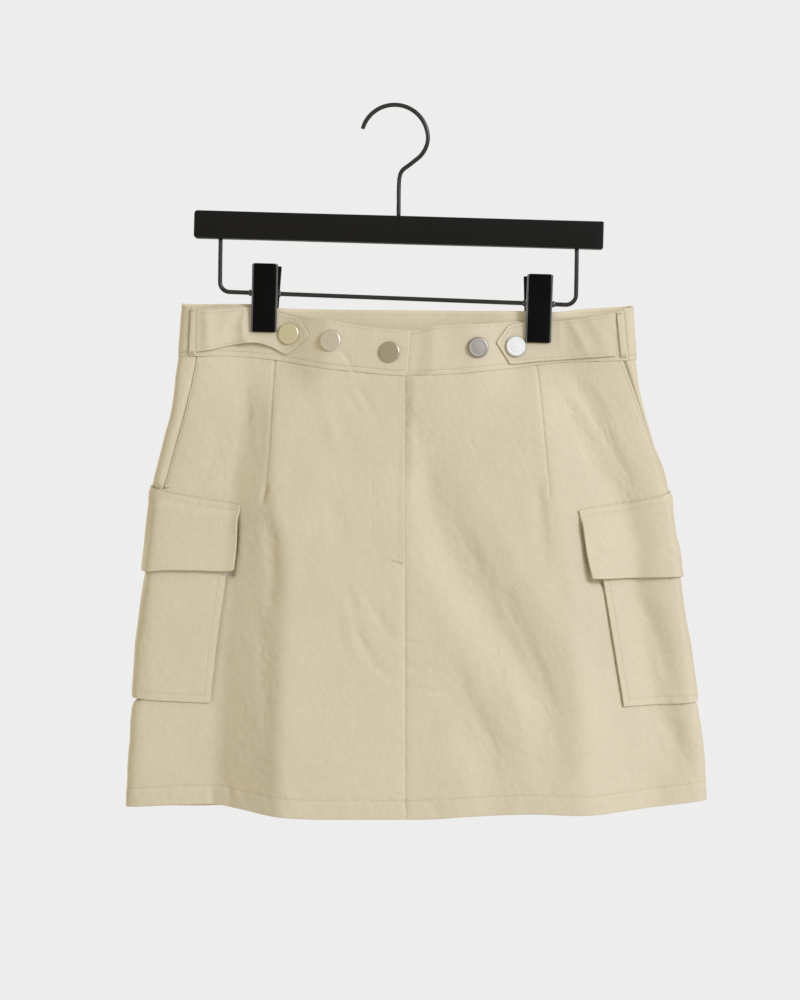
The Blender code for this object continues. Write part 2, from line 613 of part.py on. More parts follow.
def loop(side):
    row = LOOPS[side]
    v = np.linspace(0, 1, 4)[:, None]
    z = row["z"][0] * (1 - v) + row["z"][1] * v + np.zeros((1, 2))
    left = row["x_top"][0] * (1 - v) + row["x_bottom"][0] * v
    right = row["x_top"][1] * (1 - v) + row["x_bottom"][1] * v
    x = np.concatenate((left, right), axis=1)
    a = a_of_x(x, z)
    seat = np.full_like(z, BAND_OUT + GAP + 0.1)
    cloth("waist_loop_" + side, a, z, seat + TRIM_WALL + 0.2, seat)


# -------------------------------------------------------------------- hardware
def turned(name, profile, segments, look):
    """Solid of revolution about local Z through (radius, height) rows that
    start and end on the axis."""
    bm = bmesh.new()
    rings = []
    for r, h in profile:
        if r == 0:
            rings.append([bm.verts.new((0, 0, h * MM))])
        else:
            rings.append([bm.verts.new((r * MM * math.cos(t), r * MM * math.sin(t), h * MM))
                          for t in (2 * math.pi * k / segments for k in range(segments))])
    for low, high in zip(rings[:-1], rings[1:]):
        for k in range(segments):
            n = (k + 1) % segments
            if len(low) == 1:
                bm.faces.new((low[0], high[n], high[k]))
            elif len(high) == 1:
                bm.faces.new((low[k], low[n], high[0]))
            else:
                bm.faces.new((low[k], low[n], high[n], high[k]))
    bmesh.ops.recalc_face_normals(bm, faces=bm.faces)
    mesh = bpy.data.meshes.new(name)
    bm.to_mesh(mesh)
    bm.free()
    mesh.shade_smooth()
    mesh.set_sharp_from_angle(angle=math.radians(40))
    return add_object(name, mesh, look)


SNAP_PROFILE = ((0, 0), (7.7, 0), (SNAP_R, 0.4), (SNAP_R, 1.0), (7.7, 1.45), (6.2, 1.75),
                (3.6, 1.98), (0, 2.05))


def snap(name, x, z, seat):
    # the stiff cap lies on the plane through the cloth under it, just clear
    spread = np.linspace(-1, 1, 9) * (SNAP_R + 0.6)
    dx, dz = (g.ravel() for g in np.meshgrid(spread, spread))
    inside = np.hypot(dx, dz) <= SNAP_R + 0.8
    dx, dz = dx[inside], dz[inside]
    points = skin(a_of_x(x + dx, z + dz), z + dz, seat)
    slope_x, slope_z, level = np.linalg.lstsq(np.stack((dx, dz, np.ones_like(dx)), axis=1),
                                              points[:, 1], rcond=None)[0]
    normal = np.array((slope_x, -1.0, slope_z)) / math.sqrt(slope_x ** 2 + slope_z ** 2 + 1)
    at = np.array((x, level, z))
    at = at + normal * max(0.0, float(np.max((points - at) @ normal)))
    ob = turned(name, SNAP_PROFILE, 20, "snap")
    ob.location = Vector(at) * MM
    ob.rotation_mode = "QUATERNION"
    ob.rotation_quaternion = Vector(normal).to_track_quat("Z", "Y")
    return ob


def wire(name, points, look="black_wire"):
    curve = bpy.data.curves.new(name, "CURVE")
    curve.dimensions = "3D"
    spline = curve.splines.new("POLY")
    spline.points.add(len(points) - 1)
    for p, (x, z) in zip(spline.points, points):
        p.co = (x * MM, 0.0, z * MM, 1.0)
    curve.bevel_depth = WIRE_R * MM
    curve.bevel_resolution = 2
    curve.use_fill_caps = True
    curve.render_resolution_u = 0
    return add_object(name, curve, look)


def hook_route():
    """A round hook that closes in to its stem with a short reverse bend."""
    centre_x, centre_z, radius = 0.4, -24.9, 26.65
    pts = []
    for k in range(31):
        deg = 164.0 - 7.0 * k
        r = radius - 2.3 * max(0.0, -deg / 46.0) ** 1.5
        pts.append((centre_x + r * math.cos(math.radians(deg)),
                    centre_z + r * math.sin(math.radians(deg))))
    stem = ((11.6, -46.9), (8.2, -49.3), (5.7, -52.2), (4.4, -56.0), (3.9, -61.0), (3.7, -70.0),
            (3.6, -86.9))
    return pts + list(stem)


def frame_routes():
    """The clip rail below the bar: two uprights and one rail with its bends."""
    bend = 8.0
    left_x, right_x, low_l, low_r = -139.2, 145.6, -148.0, -158.2
    rail = []
    for k in range(6):
        t = math.radians(180 + 18 * k)
        rail.append((left_x + bend + bend * math.cos(t), low_l + bend + bend * math.sin(t)))
    for k in range(1, 7):
        t = math.radians(252 + 18 * k)
        rail.append((right_x - bend + bend * math.cos(t), low_r + bend + bend * math.sin(t)))
    left = [(-138.8, -106.2), (left_x, low_l + bend + 0.3)]
    right = [(146.2, -114.3), (right_x, low_r + bend + 0.3)]
    return rail, left, right


def bevelled(name, make, width, look, segments=1):
    """Mesh from make(bm), its edges softened by a Bevel modifier."""
    bm = bmesh.new()
    make(bm)
    bmesh.ops.recalc_face_normals(bm, faces=bm.faces)
    mesh = bpy.data.meshes.new(name)
    bm.to_mesh(mesh)
    bm.free()
    ob = add_object(name, mesh, look)
    bev = ob.modifiers.new("edge", "BEVEL")
    bev.width = width * MM
    bev.segments = segments
    bev.limit_method = "ANGLE"
    bev.angle_limit = math.radians(50)
    return ob


def bar_mesh(bm):
    bmesh.ops.create_cube(bm, size=1.0)
    for v in bm.verts:
        v.co = Vector((v.co.x * BAR_SIZE[0], v.co.y * BAR_SIZE[1], v.co.z * BAR_SIZE[2])) * MM


# Clip plates in side view: (y, z) from the pivot, inner face then outer face.
# They press the cloth at the bottom and open outwards above the pivot.
JAW_FRONT = ((-4.75, -26.8), (-4.75, -6.0), (-5.2, 3.0), (-10.5, 26.8),
             (-13.5, 26.0), (-8.9, 3.0), (-8.4, -6.0), (-7.0, -26.8))
JAW_BACK = ((2.85, -26.8), (2.85, -12.0), (4.5, -5.0), (4.9, 3.0), (9.5, 26.8),
            (12.5, 26.0), (8.4, 3.0), (8.0, -5.0), (6.4, -12.0), (5.2, -26.8))


def jaw_mesh(outline):
    def make(bm):
        ends = []
        for x in (-JAW_WIDTH / 2, JAW_WIDTH / 2):
            ends.append([bm.verts.new(Vector((x, y, z)) * MM) for y, z in outline])
        n = len(outline)
        half = n // 2
        for side in ends:      # end caps as a strip of quads between the faces
            for k in range(half - 1):
                bm.faces.new((side[k], side[k + 1], side[n - 2 - k], side[n - 1 - k]))
        for k in range(n):
            m = (k + 1) % n
            bm.faces.new((ends[0][k], ends[0][m], ends[1][m], ends[1][k]))
    return make


def sleeve(name):
    """Spring sleeve round the rail, showing at both sides of its clip."""
    bm = bmesh.new()
    half, outer, inner, seg = 12.6, 3.6, WIRE_R + 0.35, 12
    rings = [[bm.verts.new((x * MM, r * MM * math.cos(2 * math.pi * k / seg),
                            r * MM * math.sin(2 * math.pi * k / seg))) for k in range(seg)]
             for x, r in ((-half, outer), (half, outer), (half, inner), (-half, inner))]
    for i in range(4):
        one, two = rings[i], rings[(i + 1) % 4]
        for k in range(seg):
            n = (k + 1) % seg
            bm.faces.new((one[k], one[n], two[n], two[k]))
    bmesh.ops.recalc_face_normals(bm, faces=bm.faces)
    mesh = bpy.data.meshes.new(name)
    bm.to_mesh(mesh)
    bm.free()
    return add_object(name, mesh, "steel")


def hanger():
    lean = bpy.data.objects.new("hanger_lean", None)
    bpy.context.scene.collection.objects.link(lean)
    lean.location = Vector(BAR_AT) * MM
    lean.rotation_euler = (0.0, math.radians(HANGER_TILT), 0.0)
    bar = bevelled("hanger_bar", bar_mesh, 2.0, "black_plastic", 2)
    bar.parent = lean

    wire("hanger_hook", hook_route())
    rail, left, right = frame_routes()
    wire("hanger_rail", rail)
    wire("hanger_upright_left", left)
    wire("hanger_upright_right", right)

    for side, clip in CLIPS.items():
        pivot = bpy.data.objects.new("clip_pivot_" + side, None)
        bpy.context.scene.collection.objects.link(pivot)
        pivot.location = Vector((clip["x"], 0.0, clip["z"])) * MM
        pivot.rotation_euler = (0.0, math.radians(HANGER_TILT), 0.0)
        front = bevelled("clip_" + side + "_front", jaw_mesh(JAW_FRONT), 0.6, "black_plastic")
        back = bevelled("clip_" + side + "_back", jaw_mesh(JAW_BACK), 0.6, "black_plastic")
        tube = sleeve("clip_" + side + "_sleeve")
        for ob in (front, back, tube):
            ob.parent = pivot
        rail_z = rail_height(rail, clip["x"])
        tube.location = (0.0, 0.0, (rail_z - clip["z"]) * MM)
        tube.rotation_euler = (0.0, math.atan2(rail[5][1] - rail[6][1], rail[6][0] - rail[5][0])
                               - math.radians(HANGER_TILT), 0.0)


def rail_height(rail, x):
    (x0, z0), (x1, z1) = rail[5], rail[6]
    return z0 + (z1 - z0) * (x - x0) / (x1 - x0)


# -------------------------------------------------------------------- assembly
front_panel("front_left", -1)
front_panel("front_right", 1)
back_panel()
side_piece("side_piece_left", -1)
side_piece("side_piece_right", 1)
band_front_left()
band_front_right()
band_back()
fly_pieces()
for side_name in ("left", "right"):
    cargo(side_name)
    tab(side_name)
    loop(side_name)
for snap_name, (snap_x, snap_z, snap_seat) in SNAPS.items():
    snap(snap_name, snap_x, snap_z, snap_seat)
hanger()
bpy.context.view_layer.update()
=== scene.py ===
"""Looks of the cargo mini skirt that hangs from a two-clip trouser hanger.

Lengths are millimetres until the meshes are written; MM turns them into metres.
Axes: X to the viewer's right, Y to the back, Z up.  Origin: the inside top of
the hanger's hook.

The skirt's form is one flattened tube, skin(a, z, out): z is the height and a
runs round the tube, 0 at the middle of the front, 1 at the viewer's right side
edge, 2 at the middle of the back and 3 (the same as -1) at the left side edge.
Each cloth piece is a thin shell on that form.  Its folds, creases, darts and
hem are relief added along the form's normal, and its stitches are small joined
capsules laid on it.
"""

import math

import bmesh
import bpy
import numpy as np
from mathutils import Matrix, Vector


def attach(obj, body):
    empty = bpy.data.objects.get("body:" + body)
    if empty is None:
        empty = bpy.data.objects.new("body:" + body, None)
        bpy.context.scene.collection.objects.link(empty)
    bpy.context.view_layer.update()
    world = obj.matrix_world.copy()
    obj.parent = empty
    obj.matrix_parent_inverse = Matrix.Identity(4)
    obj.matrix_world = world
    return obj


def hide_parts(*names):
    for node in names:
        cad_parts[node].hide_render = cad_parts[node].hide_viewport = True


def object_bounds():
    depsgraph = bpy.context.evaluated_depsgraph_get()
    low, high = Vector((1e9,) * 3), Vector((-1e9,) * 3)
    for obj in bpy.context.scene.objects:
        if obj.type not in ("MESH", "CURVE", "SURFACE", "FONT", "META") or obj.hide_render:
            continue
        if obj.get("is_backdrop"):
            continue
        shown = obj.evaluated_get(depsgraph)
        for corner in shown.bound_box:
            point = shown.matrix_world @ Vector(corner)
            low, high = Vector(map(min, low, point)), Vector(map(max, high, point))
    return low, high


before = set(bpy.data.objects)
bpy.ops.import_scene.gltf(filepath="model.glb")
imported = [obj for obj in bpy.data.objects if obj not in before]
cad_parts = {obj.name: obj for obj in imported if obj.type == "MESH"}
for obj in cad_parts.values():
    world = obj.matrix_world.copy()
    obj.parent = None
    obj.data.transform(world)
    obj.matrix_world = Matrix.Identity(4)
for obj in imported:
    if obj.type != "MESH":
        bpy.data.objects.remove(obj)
cad_low, cad_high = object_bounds()

MM = 0.001

# ------------------------------------------------------------ sizes, as the CAD
GAP = 0.3
WALL = 1.0
BAND_WALL = 2.0
BAND_OUT = 0.5
TRIM_WALL = 1.5
POCKET_WALL = 1.3
FLAP_WALL = 1.8
FLY_WALL = 1.0
EDGE_POWER = 40
RAMP_ROUNDING = 0.2
FRONT_SEAM_X = 9.2
SNAP_R = 8.3
WIRE_R = 1.75
BAR_SIZE = (327.0, 13.0, 22.0)
BAR_AT = (3.8, 0.0, -98.5)
HANGER_TILT = 1.6
JAW_WIDTH = 20.8

# Cross-sections of the tube: height, side edges, how far the front, the sides
# and the back stand off the middle plane, and where the front's slopes lie.
SECTION_COLUMNS = ("z", "left", "right", "front", "side", "foot_l", "crest_l",
                   "crest_r", "foot_r", "back")
SECTIONS = (
    (-150.0, -168.6, 190.4, 13.0, 8.0, -112.0, -40.0, 60.0, 122.0, 4.0),
    (-168.0, -170.2, 191.4, 13.5, 8.2, -114.0, -48.0, 68.0, 126.0, 5.0),
    (-201.0, -172.6, 193.9, 15.0, 8.5, -121.0, -80.0, 94.0, 140.0, 6.5),
    (-222.0, -174.2, 196.0, 17.0, 9.0, -124.0, -89.0, 109.0, 152.0, 8.0),
    (-242.0, -176.8, 200.8, 19.0, 9.0, -124.0, -90.0, 112.0, 165.0, 10.0),
    (-270.0, -184.3, 210.8, 22.0, 9.5, -126.0, -92.0, 115.0, 178.0, 12.0),
    (-304.0, -192.6, 220.6, 26.0, 10.0, -131.0, -92.0, 120.0, 188.0, 15.0),
    (-372.0, -199.8, 229.9, 31.5, 11.0, -136.0, -79.5, 130.0, 200.0, 19.0),
    (-426.0, -203.2, 236.0, 35.5, 11.0, -142.0, -81.5, 135.0, 205.0, 21.0),
    (-472.0, -206.6, 242.2, 38.5, 11.5, -145.0, -84.0, 140.0, 210.0, 23.0),
    (-522.0, -213.0, 248.8, 41.0, 12.0, -147.0, -85.0, 143.0, 214.0, 25.0),
    (-575.0, -214.8, 250.6, 42.5, 12.0, -147.0, -84.0, 145.0, 214.0, 26.0),
)

# Edges round the tube, as height against x.
SEAM_FRONT = ((-173.0, -200.5), (-136.0, -199.4), (-98.6, -202.1),
              (-51.2, -210.4), (-34.4, -212.0), (8.8, -215.6), (44.0, -214.4),
              (90.4, -209.6), (131.2, -204.6), (186.4, -203.2), (194.0, -202.4))
SEAM_BACK = ((-173.0, -200.5), (-90.0, -203.0), (11.0, -204.5), (110.0, -204.4),
             (194.0, -202.4))
BAND_TOP_FRONT = ((-173.0, -158.0), (-156.8, -161.5), (-120.0, -159.2),
                  (-103.2, -161.6), (-72.8, -167.2), (-52.0, -170.9),
                  (-31.2, -174.9), (12.8, -179.2), (35.2, -175.4),
                  (69.6, -174.1), (104.0, -170.8), (157.6, -167.0),
                  (182.4, -163.0), (194.0, -160.0))
BAND_TOP_BACK = ((-173.0, -157.0), (-115.2, -157.6), (-91.2, -161.0),
                 (11.2, -162.4), (103.2, -163.2), (127.2, -164.0),
                 (156.8, -160.8), (194.0, -158.6))
HEM = ((-215.0, -559.2), (-145.0, -556.6), (-126.0, -558.8), (-91.0, -564.0),
       (-52.0, -565.7), (25.0, -565.7), (58.0, -563.6), (110.0, -561.7),
       (148.0, -562.9), (205.0, -558.8), (251.0, -553.6))
HEM_BACK = ((-215.0, -559.2), (-120.0, -561.0), (18.0, -562.0),
            (150.0, -559.5), (251.0, -553.6))

# Largest soft folds: x, z, height (plus = ridge, minus = trough), half-width.
FRONT_FOLDS = {
    "left_ridge": ((-88.0, -300.0, 0.0, 22.0), (-78.0, -372.0, 1.5, 22.0),
                   (-84.0, -440.0, 0.8, 22.0), (-80.0, -530.0, 1.6, 24.0),
                   (-79.0, -575.0, 2.0, 24.0)),
    "right_diagonal": ((22.0, -244.0, 0.0, 9.0), (25.0, -272.0, -1.6, 9.0),
                       (29.0, -312.0, -4.4, 14.0), (42.0, -354.0, -6.2, 19.0),
                       (68.0, -394.0, -6.4, 20.0), (93.0, -434.0, -6.0, 19.0),
                       (120.0, -476.0, -4.6, 16.0), (124.0, -520.0, -2.4, 16.0),
                       (122.0, -560.0, 0.0, 16.0)),
    "right_branch": ((40.0, -440.0, 0.0, 12.0), (52.0, -474.0, -2.5, 14.0),
                     (72.0, -508.0, -4.5, 16.0), (80.0, -540.0, -2.0, 17.0),
                     (84.0, -575.0, -1.0, 17.0)),
    "right_side_trough": ((126.0, -222.0, 0.0, 12.0), (140.0, -246.0, -3.0, 13.0),
                          (158.0, -274.0, -4.5, 14.0), (180.0, -314.0, -4.8, 14.0),
                          (191.0, -350.0, -3.5, 14.0), (190.0, -394.0, -4.6, 14.0),
                          (202.0, -434.0, -4.8, 15.0), (214.0, -474.0, -4.2, 15.0),
                          (223.0, -514.0, -3.4, 14.0), (232.0, -545.0, 0.0, 12.0)),
}
BACK_FOLDS = {
    "left_fall": ((-90.0, -250.0, 0.0, 22.0), (-104.0, -400.0, 5.0, 26.0),
                  (-118.0, -575.0, 9.0, 30.0)),
    "middle_valley": ((-18.0, -300.0, 0.0, 22.0), (-22.0, -430.0, -4.0, 24.0),
                      (-20.0, -575.0, -7.0, 28.0)),
    "right_fall": ((96.0, -240.0, 0.0, 20.0), (112.0, -420.0, 5.0, 26.0),
                   (128.0, -575.0, 8.0, 30.0)),
}
CLIPS = {
    "left": {"x": -103.3, "z": -152.5, "flat": 13.5, "reach": 53.0},
    "right": {"x": 115.8, "z": -161.0, "flat": 13.5, "reach": 53.0},
}
CLIP_DEPTH = 1.9
CLIP_FLAT_TO, CLIP_FADES_AT = -190.0, -244.0

SLASH_LEFT = ((-200.0, -157.0), (-210.4, -158.6), (-304.4, -182.8))
SLASH_RIGHT = ((-202.0, 182.4), (-228.0, 191.8), (-278.4, 209.6), (-308.4, 220.4))
FLAP_LEFT_INNER = ((-318.4, -123.0), (-371.0, -128.8))
FLAP_RIGHT_INNER = ((-322.6, 147.0), (-377.4, 159.0))
POCKET_LEFT_INNER = ((-330.0, -129.6), (-372.8, -133.6), (-426.4, -141.0), (-477.0, -146.6))
POCKET_RIGHT_INNER = ((-334.0, 157.6), (-378.4, 165.4), (-479.4, 181.9))
CARGO = {
    "left": {"flap_in": FLAP_LEFT_INNER, "pocket_in": POCKET_LEFT_INNER, "sign": -1,
             "flap_top": (-318.4, -302.4), "flap_bottom": (-371.0, -370.4),
             "pocket_top": (-331.4, -315.6), "pocket_bottom": (-477.0, -471.8)},
    "right": {"flap_in": FLAP_RIGHT_INNER, "pocket_in": POCKET_RIGHT_INNER, "sign": 1,
              "flap_top": (-322.6, -306.4), "flap_bottom": (-377.4, -375.6),
              "pocket_top": (-335.6, -319.4), "pocket_bottom": (-479.4, -475.0)},
}
TABS = {
    "left": {"sign": 1,
             "top": ((-157.4, -163.4), (-138.0, -161.8), (-120.0, -160.4), (-103.2, -162.6),
                     (-86.0, -166.0), (-76.0, -168.2), (-67.4, -181.6)),
             "bottom": ((-157.4, -196.4), (-150.0, -195.4), (-123.2, -189.8), (-111.5, -188.8),
                        (-98.6, -192.2), (-84.8, -198.6), (-67.4, -184.0))},
    "right": {"sign": -1,
              "top": ((81.5, -187.6), (90.4, -175.4), (103.2, -172.4), (126.4, -171.6),
                      (156.8, -168.4), (176.6, -165.4)),
              "bottom": ((81.5, -190.0), (92.2, -206.6), (116.8, -204.2), (150.0, -201.6),
                         (176.6, -199.8))},
}
LOOPS = {"left": {"x_top": (-161.7, -157.8), "x_bottom": (-163.6, -157.8), "z": (-162.0, -198.4)},
         "right": {"x_top": (177.2, 182.6), "x_bottom": (180.8, 186.4), "z": (-164.6, -200.6)}}
BAND_SEAM_LEFT = ((-158.0, -162.2), (-202.0, -164.2))
BAND_SEAM_RIGHT = ((-160.0, 183.0), (-204.0, 187.2))
ON_BAND = BAND_OUT + 0.45
ON_TAB = BAND_OUT + GAP + 0.15 + TRIM_WALL + 0.45

